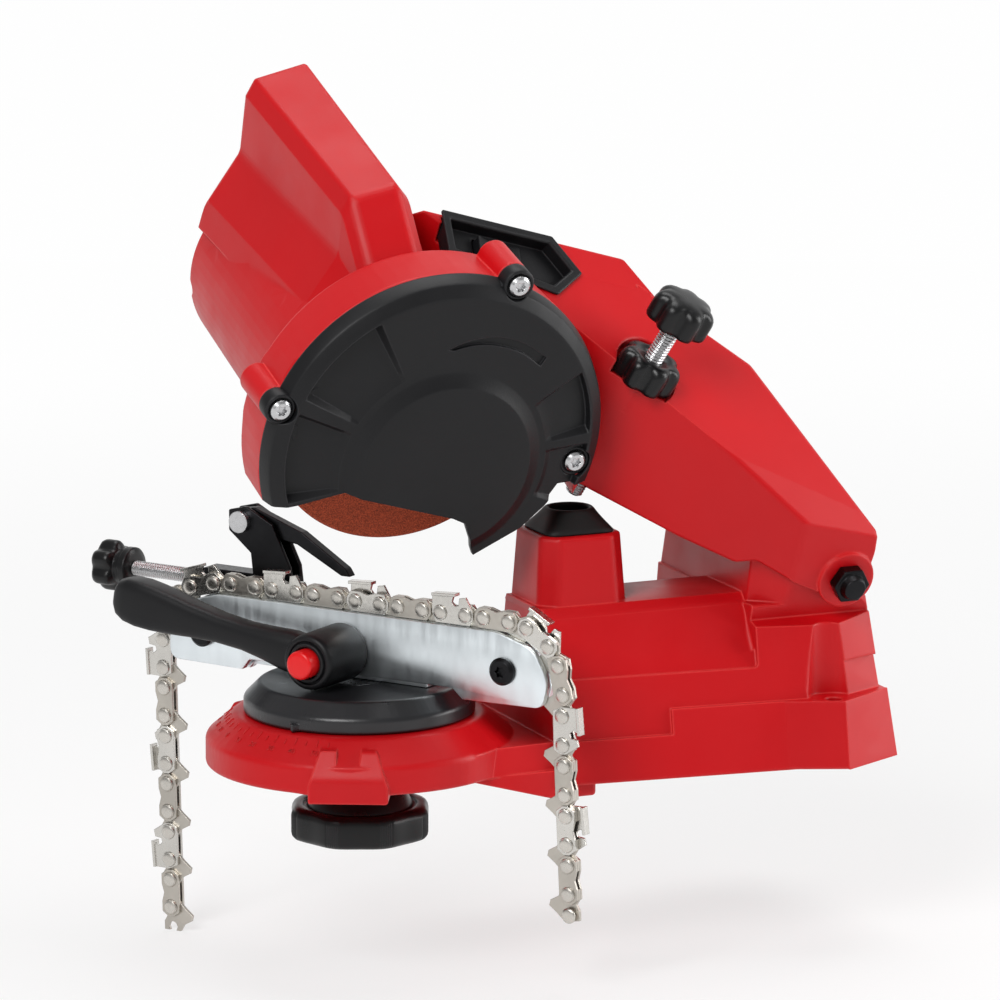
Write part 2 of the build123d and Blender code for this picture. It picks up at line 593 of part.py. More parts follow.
# --------------------------------------------------------------- motor head
def make_head():
    head = barrel(0) - below(barrel(SHELL), (0, 0, DRUM_BACK - 3.0), (0, 0, 1))
    head -= disc(BEARING_R + 3 + SEAT, DRUM_BACK - 6.5, 0, WHEEL_X, WHEEL_V)
    # cooling slots in the end cap
    for i in range(-3, 4):
        slot_half = math.sqrt(31.0 ** 2 - (7.0 * i) ** 2)
        head -= block(WHEEL_X - slot_half, WHEEL_X + slot_half, WHEEL_V + 7 * i - 1.4,
                      WHEEL_V + 7 * i + 1.4, BARREL_END - 1, BARREL_END + SHELL + 1)
    head += disc(BEARING_R + 3, BARREL_END, BARREL_END + 12, WHEEL_X, WHEEL_V)
    head -= disc(BEARING_R, BARREL_END + SHELL, BARREL_END + 13, WHEEL_X, WHEEL_V)
    return head


parts["head_shell"] = ARM.location * make_head()


def coaxial(shape):
    """Place a turned piece on the wheel's axis."""
    return ARM.location * (Pos(WHEEL_X, WHEEL_V, 0) * shape)


parts["motor_stator"] = coaxial(ring(STATOR_R, ROTOR_R + 0.8, STATOR_K0, STATOR_K1))
shaft = disc(SHAFT_R, BARREL_END + SHELL + 1, 8.5)
shaft += disc(ROTOR_R, STATOR_K0 + 2, STATOR_K1 - 2)
shaft += disc(ROTOR_R * 0.6, STATOR_K1 - 2, STATOR_K1 + 9)
parts["motor_rotor"] = coaxial(shaft)
bearings = [ring(BEARING_R - SEAT, SHAFT_R + RUN_FIT, DRUM_BACK - 5.6, DRUM_BACK - 5.6 + BEARING_T),
            ring(BEARING_R - SEAT, SHAFT_R + RUN_FIT, BARREL_END + SHELL + 0.1,
                 BARREL_END + SHELL + 0.1 + BEARING_T)]
parts["motor_bearings"] = coaxial(Compound(children=bearings))
wheel = ring(WHEEL_R, WHEEL_BORE, -WHEEL_T / 2, WHEEL_T / 2)
wheel = chamfer(wheel.edges().filter_by(GeomType.CIRCLE).sort_by(SortBy.RADIUS)[-2:], 0.9)
parts["grinding_wheel"] = coaxial(wheel)
inner = ring(FLANGE_R, SHAFT_R + SEAT, -WHEEL_T / 2 - FLANGE_T, -WHEEL_T / 2)
inner += ring(WHEEL_BORE - SEAT, SHAFT_R + SEAT, -WHEEL_T / 2, WHEEL_T / 2 - 0.2)
outer = ring(FLANGE_R, SHAFT_R + SEAT, WHEEL_T / 2, WHEEL_T / 2 + 2.2)
parts["wheel_flange_inner"] = coaxial(inner)
parts["wheel_flange_outer"] = coaxial(outer)
parts["arbor_nut"] = coaxial(hexagon(15, WHEEL_T / 2 + 2.2, WHEEL_T / 2 + 7.2)
                             - disc(SHAFT_R + SEAT, 0, 20))


# -------------------------------------------------------------------- guard
def fan(a0, a1, r0, r1):
    """Corners of a sector of a ring about the hub cover."""
    outline = []
    for i in range(6):
        a = math.radians(a0 + (a1 - a0) * i / 5)
        outline.append((HUB_X + r1 * math.cos(a), HUB_V + r1 * math.sin(a)))
    for i in range(4):
        a = math.radians(a1 + (a0 - a1) * i / 3)
        outline.append((HUB_X + r0 * math.cos(a), HUB_V + r0 * math.sin(a)))
    return outline


def guard_body(inward):
    """Rim, bevel, face and hub cover; a positive inward gives the hollow."""
    foot = GUARD_BACK - 1 if inward else GUARD_BACK
    bevel = GUARD_BEVEL - inward
    face = GUARD_FACE - inward
    body = frustum(GUARD_R - inward, GUARD_R1 - inward, foot, bevel, GUARD_X, GUARD_V)
    body += frustum(GUARD_R1 - inward, GUARD_R2 - inward, bevel, face, GUARD_X, GUARD_V)
    return body + frustum(HUB_R0 - inward, HUB_R1 - inward, face - 1, HUB_FACE - inward, HUB_X, HUB_V)


def make_guard():
    cover = guard_body(0) + ear_bosses(GUARD_BACK, EAR_FACE, EAR_R)
    hollow = guard_body(GUARD_WALL)
    for x, v in EARS:
        hollow -= disc(EAR_R, GUARD_BACK - 2, 40, x, v)
    cover -= hollow
    # sunk fans with drafted walls, and a crescent above the hub cover
    for a0, a1, reach in FANS:
        cover -= ruled(fan(a0 + 1.5, a1 - 1.5, FAN_R0 + 1.2, reach - 1.2), GUARD_FACE - FAN_DEPTH,
                       fan(a0, a1, FAN_R0, reach), GUARD_FACE + 0.01)
    cover -= prism(CRESCENT, GUARD_FACE - CRESCENT_DEPTH, GUARD_FACE + 1)
    cover -= prism(drum_cut(0), -30, 40)
    for x, v in EARS:
        cover -= disc(GUARD_SCREW_R + 0.2, GUARD_BACK - 1, 40, x, v)
        cover -= disc(4.4, EAR_FACE - 1.2, 40, x, v)
    return cover


parts["guard_cover"] = ARM.location * make_guard()
screws = []
for x, v in EARS:
    seat = EAR_FACE - 1.2
    pin = disc(GUARD_SCREW_R, -3.5, seat, x, v)
    head = disc(4.1, seat, seat + 2.8, x, v)
    head = chamfer(head.edges().group_by(Axis.Z)[-1], 0.9)
    screws.append(ARM.location * (pin + head - torx(2.2, seat + 1.4, 40, x, v)))
parts["guard_screws"] = Compound(children=screws)

# -------------------------------------------------------------------- pivot
near_face = ARM_NEAR + 1.4
far_face = ARM_FAR - 1.4
bolt = disc(PIVOT_R, far_face - 9, near_face + 3)
bolt += hexagon(13, near_face, near_face + 5)
bolt += frustum(5.2, 4.2, near_face + 5, near_face + 8)
parts["pivot_bolt"] = ARM.location * (Pos(PIVOT_X, PIVOT_V, 0) * bolt)
parts["pivot_nut"] = ARM.location * (Pos(PIVOT_X, PIVOT_V, 0) * (
    hexagon(13, far_face - 7, far_face) - disc(PIVOT_R + SEAT, -90, 90)))

# -------------------------------------------------- depth screw and its knobs
parts["depth_screw"] = ARM.location * (SCREW.location * disc(SCREW_R, 0, DEPTH_Z + 8))
parts["depth_knob"] = ARM.location * (SCREW.location * (
    Pos(0, 0, DEPTH_Z) * (star_knob(KNOB_R, KNOB_H, 7, 0) - disc(SCREW_R + SEAT, -1, 8))))
parts["lock_knob"] = ARM.location * (SCREW.location * (
    Pos(0, 0, LOCK_Z) * star_knob(KNOB_R, KNOB_H, 7, SCREW_R + RUN_FIT)))
parts["depth_stop"] = disc(STOP_R, POST_FLOOR, STOP_TOP, STOP_X, STOP_Y)
boot = ruled(octagon(28.5, 6, 0, 0), 0, octagon(18, 4.5, 0, 0), 8.5)
boot -= frustum(POST_BORE + 0.8, 7.6, -1, 9.5)
parts["spring_boot"] = Pos(POST_X, POST_Y, POST_Z + 0.1) * boot

# ---------------------------------------------------- turntable and its lock
table = disc(TABLE_TOP_R, TABLE_TOP_Z0, TABLE_TOP_Z1)
table += frustum(TABLE_TOP_R, TABLE_TOP_R2, TABLE_TOP_Z1, TABLE_TOP_Z2)
table -= disc(SWIVEL_R + SEAT, 0, 60)
table -= hexagon(17 + 2 * SEAT, TABLE_TOP_Z2 - 5, 60)
table -= ring(TABLE_TOP_R - 5, 12, TABLE_TOP_Z0 - 1, TABLE_TOP_Z0 + 4)
pointer = prism([(-4, TABLE_TOP_R - 3), (4, TABLE_TOP_R - 3), (0, TABLE_TOP_R + 3)], TABLE_TOP_Z0,
                TABLE_TOP_Z0 + 3)
table += Rot(0, 0, 90 + SWIVEL_REST) * pointer
parts["turntable"] = table
swivel = disc(SWIVEL_R, KNOB_LOW_Z1 - 3, TABLE_TOP_Z2 - 0.2)
swivel += hexagon(17, TABLE_TOP_Z2 - 5, TABLE_TOP_Z2 - 0.2)
parts["swivel_bolt"] = swivel
low_knob = star_knob(KNOB_LOW_R, KNOB_LOW_Z1 - KNOB_LOW_Z0, 8, 0)
low_knob = Pos(0, 0, KNOB_LOW_Z0) * low_knob
low_knob += frustum(20, 12, KNOB_LOW_Z1, TABLE_Z0 - 2 - CLEAR)
low_knob -= disc(SWIVEL_R + RUN_FIT, KNOB_LOW_Z1 - 4, 20)
parts["table_lock_knob"] = low_knob
parts["lock_washer"] = ring(13, SWIVEL_R + RUN_FIT, TABLE_Z0 - 2, TABLE_Z0 - 0.1)


# --------------------------------------------------------------------- vise
def front_outline():
    return [(-84.8, 36), (-84.8, 44), (-83.2, 50.3), (-78.8, 57), (-71.8, 61.2), (-62.5, JAW_TOP),
            (63.7, JAW_TOP), (76.6, 60.0), (84.3, 52.3), (85.6, 44), (83.5, 36.7), (48.2, 35.8),
            (43.8, JAW_FOOT), (-47.7, JAW_FOOT), (-51, 35.2)]


def make_front_jaw():
    d0 = JAW_GAP / 2
    plate = prism(front_outline(), d0, d0 + JAW_T)
    plate -= disc(STUD_R + CLEAR, -1, 20, STUD_S, STUD_Z)
    for s, z in VISE_SCREWS:
        plate -= disc(2.5 + SEAT, -1, 20, s, z)
    return plate


VISE_SCREWS = [(66.8, 49.0), (-68.9, 47.8)]
REAR_T = 4.0
parts["vise_jaw_front"] = VISE.location * make_front_jaw()
rear_jaw = prism([(x * 0.99, z) for x, z in front_outline()], -JAW_GAP / 2 - REAR_T, -JAW_GAP / 2)
foot = block(-54, 30, TABLE_TOP_Z2 + 0.1, TABLE_TOP_Z2 + 3.6, -JAW_GAP / 2 - 24, -JAW_GAP / 2)
rear_jaw += foot
rear_jaw -= disc(STUD_R + SEAT, -60, 20, STUD_S, STUD_Z)
for s, z in VISE_SCREWS:
    rear_jaw -= disc(2.5 + SEAT, -20, 20, s, z)
parts["vise_jaw_rear"] = VISE.location * rear_jaw
vise_screws = []
for s, z in VISE_SCREWS:
    face = JAW_GAP / 2 + JAW_T
    pin = disc(2.5, -JAW_GAP / 2 - REAR_T, face, s, z)
    head = disc(5.3, face, face + 2.8, s, z)
    head = chamfer(head.edges().group_by(Axis.Z)[-1], 1.1)
    vise_screws.append(VISE.location * (pin + head - torx(2.4, face + 1.2, 30, s, z)))
parts["vise_screws"] = Compound(children=vise_screws)

stud = disc(STUD_R, -JAW_GAP / 2 - REAR_T - 6, LEVER_HUB_D - 4, STUD_S, STUD_Z)
stud += hexagon(13, -JAW_GAP / 2 - REAR_T - 5, -JAW_GAP / 2 - REAR_T, STUD_S, STUD_Z)
parts["clamp_stud"] = VISE.location * stud
HUB_D0 = JAW_GAP / 2 + JAW_T + CLEAR


def make_lever():
    hub = Pos(STUD_S, STUD_Z, 0) * frustum(LEVER_HUB_R + 0.4, LEVER_HUB_R, HUB_D0, LEVER_HUB_D)
    end = (-95.0, 63.0)
    a = math.atan2(end[1] - STUD_Z, end[0] - STUD_S)
    ux, uz = math.cos(a), math.sin(a)
    nx, nz = -uz, ux

    def at(t, w):
        return (STUD_S + ux * t + nx * w, STUD_Z + uz * t + nz * w)

    bar = prism([at(2, 8.0), at(34, 5.0), at(58, 6.6), at(84, 8.8), at(92, 5), at(92, -5), at(85, -8.8),
                 at(60, -7.2), at(34, -5.0), at(2, -9.0)], LEVER_HUB_D - 14, LEVER_HUB_D - 1)
    bar = chamfer(bar.edges().group_by(Axis.Z)[-1], 2.0)
    lever = hub + bar
    lever -= disc(STUD_R + RUN_FIT, -1, LEVER_HUB_D - 3.5, STUD_S, STUD_Z)
    lever -= disc(5.2 + CLEAR, LEVER_HUB_D - 3.5, 60, STUD_S, STUD_Z)
    return lever


parts["clamp_lever"] = VISE.location * make_lever()
button = disc(5.2, LEVER_HUB_D - 1.8, LEVER_HUB_D + 3.5, STUD_S, STUD_Z)
parts["lever_button"] = VISE.location * chamfer(button.edges().group_by(Axis.Z)[-1], 0.8)

# --------------------------------------------------------------- chain stop
STOP_D = -14.0
PAWL_PIN = (-60.0, 90.0)
STOP_FOOT = TABLE_TOP_Z2 + 3.8
FEED_Z = 65.0          # height of the feed screw
FEED_R = 3.0
FEED_KNOB_S = -113.0
BRACKET = [(-52, STOP_FOOT), (-34, STOP_FOOT), (-38, 74), (-46, 90), (-58, 96), (-66, 94), (-66, 86),
           (-56, 78), (-54, 60)]
BRACKET_T = 9.0
FORK = [(-70, 100), (-70, 84), (-56, 84), (-52, 70), (-30, 70), (-30, 100)]
FORK_GAP = 5.2         # slot of the fork that carries the pawl
PAWL = [(-64, 94), (-56, 95.5), (-34, 88), (-14, 76), (-12, 73), (-16, 73), (-36, 83), (-58, 86),
        (-64, 86)]
PAWL_T = 4.4
PAWL_PIN_R = 2.0


def make_stop_bracket():
    half = BRACKET_T / 2
    post = prism(BRACKET, STOP_D - half, STOP_D + half)
    post -= prism(FORK, STOP_D - FORK_GAP / 2, STOP_D + FORK_GAP / 2)
    post -= disc(PAWL_PIN_R + SEAT, -60, 30, *PAWL_PIN)
    lug = block(-78, -46, FEED_Z - 5, FEED_Z + 5, STOP_D - half, STOP_D + half)
    screw = Pos(0, FEED_Z, STOP_D) * Rot(0, 90, 0) * Cylinder(FEED_R + RUN_FIT, 200)
    return post + lug - screw


def make_pawl_pin():
    reach = BRACKET_T / 2 + 2.5
    pin = disc(PAWL_PIN_R, STOP_D - reach, STOP_D + reach, *PAWL_PIN)
    pin += disc(4.2, STOP_D + reach - 2.4, STOP_D + reach, *PAWL_PIN)
    return pin + disc(4.2, STOP_D - reach, STOP_D - reach + 2.4, *PAWL_PIN)


parts["stop_bracket"] = VISE.location * make_stop_bracket()
parts["pawl_pin"] = VISE.location * make_pawl_pin()
pawl = prism(PAWL, STOP_D - PAWL_T / 2, STOP_D + PAWL_T / 2)
pawl -= disc(PAWL_PIN_R + RUN_FIT, -60, 30, *PAWL_PIN)
parts["stop_pawl"] = VISE.location * pawl
rod = Pos(-80, FEED_Z, STOP_D) * Rot(0, 90, 0) * Cylinder(FEED_R, 74)
parts["stop_screw"] = VISE.location * rod
knob = Pos(FEED_KNOB_S, FEED_Z, STOP_D) * Rot(0, -90, 0) * star_knob(10.0, 16.0, 6, 0)
knob -= Pos(FEED_KNOB_S, FEED_Z, STOP_D) * Rot(0, 90, 0) * Cylinder(FEED_R + SEAT, 12)
parts["stop_knob"] = VISE.location * knob

# -------------------------------------------------------------------- chain
# way of the rivets: up the left tail, over the jaws, down the right tail
CHAIN_WAY = [(-86.7, -72.0), (-89.4, 30.0), (-89.4, 43.5), (-88.0, 52.0), (-83.0, 60.0),
             (-74.5, 65.8), (-62.0, CHAIN_Z), (66.0, CHAIN_Z), (78.4, 65.3), (86.5, 58.3),
             (90.6, 50.0), (91.4, 41.0), (91.0, 32.0), (94.6, -48.0)]


def walk(way, steps):
    """Rivet centres along the way, each a link's length from the last."""
    points = [way[0]]
    leg = 0
    for step in steps:
        x, y = points[-1]
        while True:
            if leg >= len(way) - 1:
                return points
            (ax, ay), (bx, by) = way[leg], way[leg + 1]
            length = math.hypot(bx - ax, by - ay)
            ux, uy = (bx - ax) / length, (by - ay) / length
            along = (x - ax) * ux + (y - ay) * uy
            off = (x - ax) * uy - (y - ay) * ux
            if abs(off) < step:
                t = along + math.sqrt(step ** 2 - off ** 2)
                if t <= length:
                    points.append((ax + ux * t, ay + uy * t))
                    break
            leg += 1
    return points


def link_outline(spacing, waist):
    """Outline of a link plate: blunt round ends and a waist between the rivets."""
    h = spacing / 2
    r = STRAP_H / 2
    upper_side = [(-h - r, 0.3 * r), (-h - 0.5 * r, r), (-h + 0.5 * r, r), (0, waist),
                  (h - 0.5 * r, r), (h + 0.5 * r, r), (h + r, 0.3 * r)]
    return upper_side


def peg(radius, z0, z1, x):
    """Rivet shank or head, simplified to eight sides."""
    face = Pos(x, 0, z0) * RegularPolygon(radius, 8)
    return extrude(face, amount=z1 - z0)


def eye(turned, x):
    """Hole that clears a rivet; round where a tail swings on it."""
    if turned:
        return disc(RIVET_R + RUN_FIT, -5, 5, x)
    return peg((RIVET_R + RUN_FIT) / math.cos(math.pi / 8), -5, 5, x)


def drive_link(turned):
    """Centre link with its tang in the slot of the jaws; x along the link."""
    h = PITCH_DRIVE / 2
    tang = [(h + 2.8, -2.6), (h - 0.5, -6.0), (1.0, -9.2), (-1.2, -8.6), (-h + 1.0, -5.0), (-h - 2.8, -2.6)]
    link = prism(link_outline(PITCH_DRIVE, 2.6)[1:-1] + tang, -GAUGE / 2, GAUGE / 2)
    for x in (-h, h):
        link -= eye(turned, x)
    return link


def strap(d0):
    outline = link_outline(PITCH_SIDE, 2.9)
    below_line = [(x, -y) for x, y in reversed(outline) if x]
    return prism(outline + below_line, d0, d0 + STRAP_T)


def cutter_plate(d0):
    """Side plate with gullet and depth gauge."""
    h = PITCH_SIDE / 2
    r = STRAP_H / 2
    outline = [(-h - r + 0.3, 0), (-h - 3.5, 7.0), (0.6, 7.6), (-0.4, 4.6), (1.0, 3.0), (2.6, 3.4),
               (3.0, 6.3), (5.6, 6.8), (h + 3.4, 1.5), (h + r - 0.4, -0.3 * r),
               (h + 0.5 * r, -r), (-h - 0.5 * r, -r)]
    return prism(outline, d0, d0 + STRAP_T)


def rivets(turned):
    """Two rivets; their shanks are round where a tail swings on them."""
    reach = SIDE_D + STRAP_T + RIVET_HEAD
    pins = None
    for x in (-PITCH_SIDE / 2, PITCH_SIDE / 2):
        pin = disc(RIVET_R, -reach, reach, x) if turned else peg(RIVET_R, -reach, reach, x)
        pin += peg(RIVET_HEAD_R, SIDE_D + STRAP_T, reach, x)
        pin += peg(RIVET_HEAD_R, -reach, -SIDE_D - STRAP_T, x)
        pins = pin if pins is None else pins + pin
    return pins


def side_pair():
    """Two straps with the rivets pressed into them."""
    return rivets(False) + strap(SIDE_D) + strap(-SIDE_D - STRAP_T)


def cutter_pair(side, turned):
    """Strap on one side, cutter on the other; side is +1 or -1."""
    h = PITCH_SIDE / 2
    inner = sorted((side * SIDE_D, side * (SIDE_D + STRAP_T)))[0]
    other = sorted((-side * SIDE_D, -side * (SIDE_D + STRAP_T)))[0]
    top = sorted((side * (SIDE_D - 2.0), side * (SIDE_D + STRAP_T + 0.5)))
    pair = rivets(turned) + cutter_plate(inner) + strap(other)
    pair += prism([(-h - 3.6, 6.2), (-h - 3.6, 7.3), (1.2, 7.9), (1.2, 6.8)], *top)
    return pair


def set_link(shape, a, b):
    """Place a link between the rivets a and b of the way."""
    angle = math.degrees(math.atan2(b[1] - a[1], b[0] - a[0]))
    return VISE.location * (Pos((a[0] + b[0]) / 2, (a[1] + b[1]) / 2, 0) * Rot(0, 0, angle) * shape)


LINK_COUNT = 43
steps = [PITCH_DRIVE if i % 2 == 0 else PITCH_SIDE for i in range(LINK_COUNT)]
RIVETS = walk(CHAIN_WAY, steps)
# the tails hang from the last rivets that the jaws hold
LEFT_HINGE = max(i for i in range(0, 20, 2) if RIVETS[i][1] < 44)
RIGHT_HINGE = min(i for i in range(25, len(RIVETS)) if RIVETS[i][1] < 34 and i % 2 == 0)
LINKS = {"drive_links": drive_link(False), "side_links": side_pair(),
         "right_cutter": cutter_pair(1, False), "left_cutter": cutter_pair(-1, False)}
# the links that share a hinge rivet have round shanks and holes
HINGES = {LEFT_HINGE: drive_link(True), RIGHT_HINGE: drive_link(True),
          LEFT_HINGE - 1: cutter_pair(1, True), RIGHT_HINGE - 1: cutter_pair(1, True)}
groups = {}
for i in range(len(RIVETS) - 1):
    where = "chain"
    if i < LEFT_HINGE:
        where = "chain_tail_left"
    elif i >= RIGHT_HINGE:
        where = "chain_tail_right"
    if i % 2 == 0:
        kind, link = "drive_links", LINKS["drive_links"]
    elif i % 4 == 3:
        kind, link = "cutters", LINKS["right_cutter" if i % 8 == 3 else "left_cutter"]
    else:
        kind, link = "side_links", LINKS["side_links"]
    link = HINGES.get(i, link)
    groups.setdefault(where + "_" + kind, []).append(set_link(link, RIVETS[i], RIVETS[i + 1]))
for name, links in groups.items():
    parts[name] = Compound(children=links)

os.makedirs("parts", exist_ok=True)
for name, shape in parts.items():
    export_step(Pos(-BOLT_X, 0, 0) * shape, "parts/%s.step" % name)
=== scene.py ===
import json
import math

import bmesh
import bpy
from mathutils import Matrix, Vector
from mathutils.bvhtree import BVHTree
from mathutils.geometry import intersect_point_line

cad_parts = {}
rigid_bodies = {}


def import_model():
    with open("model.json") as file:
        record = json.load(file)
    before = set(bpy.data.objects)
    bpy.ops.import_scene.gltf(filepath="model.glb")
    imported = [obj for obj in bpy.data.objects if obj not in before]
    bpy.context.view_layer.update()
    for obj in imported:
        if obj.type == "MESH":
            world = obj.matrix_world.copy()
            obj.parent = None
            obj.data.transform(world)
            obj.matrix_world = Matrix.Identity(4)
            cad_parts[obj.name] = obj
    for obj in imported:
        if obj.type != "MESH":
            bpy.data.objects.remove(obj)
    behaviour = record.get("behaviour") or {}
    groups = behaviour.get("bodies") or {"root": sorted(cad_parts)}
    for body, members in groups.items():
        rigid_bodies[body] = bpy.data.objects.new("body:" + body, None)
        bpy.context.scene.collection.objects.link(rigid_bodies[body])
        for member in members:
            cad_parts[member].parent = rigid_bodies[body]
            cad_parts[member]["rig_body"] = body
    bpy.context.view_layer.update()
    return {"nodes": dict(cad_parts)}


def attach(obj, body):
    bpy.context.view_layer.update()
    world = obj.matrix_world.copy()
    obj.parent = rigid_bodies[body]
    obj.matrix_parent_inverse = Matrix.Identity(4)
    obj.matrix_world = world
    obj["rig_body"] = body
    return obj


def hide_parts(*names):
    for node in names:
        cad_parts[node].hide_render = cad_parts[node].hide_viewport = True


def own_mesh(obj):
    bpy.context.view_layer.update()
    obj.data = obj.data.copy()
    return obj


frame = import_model()

# ------------------------------------------------------------------ the frame
# The bench screws stand about the origin; the vise turns about the upright through SWIVEL.
# The arm's frame lies in the plane of the wheel, the vise's frame along the jaws.
MM = 0.001
SWIVEL_X = -172.0
WHEEL_HEIGHT = 70.5
TILT = math.radians(17.0)
YAW = math.radians(55.0)
SWIVEL = Vector((SWIVEL_X, 0, 0))
X, Y, Z = Vector((1, 0, 0)), Vector((0, 1, 0)), Vector((0, 0, 1))
ARM_Y = Vector((0, -math.sin(TILT), math.cos(TILT)))
ARM_Z = Vector((0, -math.cos(TILT), -math.sin(TILT)))
VISE_X = Vector((math.cos(YAW), -math.sin(YAW), 0))
VISE_Z = Vector((-math.sin(YAW), -math.cos(YAW), 0))


def basis(origin, x, y, z):
    """Matrix with the given axes, placed at origin."""
    return Matrix(((x[0], y[0], z[0], origin[0]), (x[1], y[1], z[1], origin[1]),
                   (x[2], y[2], z[2], origin[2]), (0, 0, 0, 1)))


def frame_matrix(origin, x, y, z):
    """Local millimetres to the row frame in metres."""
    return Matrix.Scale(MM, 4) @ basis(origin, x, y, z)


ARM = frame_matrix(SWIVEL + WHEEL_HEIGHT * Z, X, ARM_Y, ARM_Z)
VISE = frame_matrix(SWIVEL, VISE_X, Z, VISE_Z)
TABLE = frame_matrix(SWIVEL, X, Y, Z)

# --------------------------------------------------------------------- camera
CAMERA_PLACE = (-1.064435, -2.238855, 0.589094)
CAMERA_AIM = Vector((0.383117, 0.902566, -0.196460))
CAMERA_LENS = 234.68
SENSOR_WIDTH = 36.0


def make_camera():
    data = bpy.data.cameras.new("photo_camera")
    data.sensor_width = SENSOR_WIDTH
    data.lens = CAMERA_LENS
    data.clip_start = 0.1
    data.clip_end = 20.0
    cam = bpy.data.objects.new("photo_camera", data)
    bpy.context.scene.collection.objects.link(cam)
    cam.location = CAMERA_PLACE
    cam.rotation_mode = "QUATERNION"
    cam.rotation_quaternion = CAMERA_AIM.to_track_quat("-Z", "Y")
    bpy.context.scene.camera = cam


make_camera()


# ------------------------------------------------------------------ materials
COAT_ROUGH = 0.2
EDGE_SAMPLES = 6
EDGE_START, EDGE_END = 0.86, 0.995      # cosines between full and no painted edge highlight


class Surface:
    """A procedural material on one Principled shader, in object coordinates."""

    def __init__(self, name, color, rough, metal=0.0, spec=0.5, coat=0.0):
        self.mat = bpy.data.materials.new(name)
        self.mat.use_nodes = True
        self.tree = self.mat.node_tree
        self.bsdf = self.tree.nodes["Principled BSDF"]
        self.bsdf.inputs["Metallic"].default_value = metal
        self.bsdf.inputs["Specular IOR Level"].default_value = spec
        self.bsdf.inputs["Coat Weight"].default_value = coat
        self.bsdf.inputs["Coat Roughness"].default_value = COAT_ROUGH
        self.bsdf.inputs["Base Color"].default_value = (*color, 1)
        self.bsdf.inputs["Roughness"].default_value = rough
        self.normal = None
        self.coords = self.node("ShaderNodeTexCoord").outputs["Object"]

    def node(self, kind, **values):
        made = self.tree.nodes.new(kind)
        for key, value in values.items():
            if key in made.inputs:
                made.inputs[key].default_value = value
            else:
                setattr(made, key, value)
        return made

    def link(self, a, b):
        self.tree.links.new(a, b)

    def stretched(self, scale):
        made = self.node("ShaderNodeMapping")
        made.inputs["Scale"].default_value = scale
        self.link(self.coords, made.inputs["Vector"])
        return made.outputs["Vector"]

    def noise(self, scale, detail=3.0, rough=0.55, coords=None):
        made = self.node("ShaderNodeTexNoise", Scale=scale, Detail=detail, Roughness=rough)
        self.link(coords or self.coords, made.inputs["Vector"])
        return made.outputs["Fac"]

    def grains(self, scale):
        made = self.node("ShaderNodeTexVoronoi", Scale=scale)
        self.link(self.coords, made.inputs["Vector"])
        return made.outputs["Distance"]

    def spread(self, fac, low, high, start=0.3, end=0.7):
        made = self.node("ShaderNodeMapRange")
        made.inputs["From Min"].default_value = start
        made.inputs["From Max"].default_value = end
        made.inputs["To Min"].default_value = low
        made.inputs["To Max"].default_value = high
        self.link(fac, made.inputs["Value"])
        return made.outputs["Result"]

    def mix(self, fac, a, b):
        made = self.node("ShaderNodeMix", data_type="RGBA")
        self.link(fac, made.inputs["Factor"])
        for socket, value in ((made.inputs[6], a), (made.inputs[7], b)):
            if isinstance(value, tuple):
                socket.default_value = (*value, 1)
            else:
                self.link(value, socket)
        return made.outputs[2]

    def edges(self, radius):
        """Soft edge mask for the painted edge highlight: how far the rounded normal leaves the
        flat one.
        """
        bevel = self.node("ShaderNodeBevel", samples=EDGE_SAMPLES, Radius=radius)
        geo = self.node("ShaderNodeNewGeometry")
        dot = self.node("ShaderNodeVectorMath", operation="DOT_PRODUCT")
        self.link(bevel.outputs["Normal"], dot.inputs[0])
        self.link(geo.outputs["Normal"], dot.inputs[1])
        return self.spread(dot.outputs["Value"], 1.0, 0.0, EDGE_START, EDGE_END)

    def bump(self, height, strength, distance):
        made = self.node("ShaderNodeBump", Strength=strength, Distance=distance)
        self.link(height, made.inputs["Height"])
        if self.normal is not None:
            self.link(self.normal, made.inputs["Normal"])
        self.normal = made.outputs["Normal"]

    def rounded(self, radius, samples=EDGE_SAMPLES):
        bevel = self.node("ShaderNodeBevel", samples=samples, Radius=radius)
        self.normal = bevel.outputs["Normal"]

    def finish(self, color, rough):
        self.link(color, self.bsdf.inputs["Base Color"])
        self.link(rough, self.bsdf.inputs["Roughness"])
        self.link(self.normal, self.bsdf.inputs["Normal"])
        return self.mat


def tint(color, f):
    return tuple(min(1.0, c * f) for c in color)


def plastic(name, color, rough, edge, grain, bump, radius=0.0012, coat=0.0, mottle=0.06, spec=0.5):
    """Moulded plastic: fine grain, a slight mottle, and a painted highlight that makes it lighter
    along the edges.
    """
    s = Surface(name, color, rough, spec=spec, coat=coat)
    s.rounded(radius)
    s.bump(s.noise(grain, 2.0, 0.6), bump, 0.00012)
    cloud = s.noise(14.0, 4.0)
    base = s.mix(s.spread(cloud, 0.0, 1.0), tint(color, 1 - mottle), tint(color, 1 + mottle))
    # painted highlight: the lighter edge colour is mixed in along the rounded edges
    edge_highlighted = s.mix(s.edges(radius), base, edge)
    dull = s.spread(s.noise(60.0, 3.0), rough - 0.04, rough + 0.06)
    return s.finish(edge_highlighted, dull)


def metal(name, color, rough, brushed=None, dark=0.75, grain=700.0, bump=0.05, radius=0.0004):
    """Metal with fine lines and darker clouds; brushed is the lines' stretch."""
    s = Surface(name, color, rough, metal=1.0)
    s.rounded(radius, 4)
    coords = s.stretched(brushed) if brushed else s.coords
    lines = s.noise(grain, 3.0, 0.6, coords)
    s.bump(lines, bump, 0.00005)
    cloud = s.noise(35.0, 4.0)
    base = s.mix(s.spread(cloud, 0.0, 1.0), tint(color, dark), color)
    dull = s.spread(lines, rough - 0.06, rough + 0.08)
    return s.finish(base, dull)


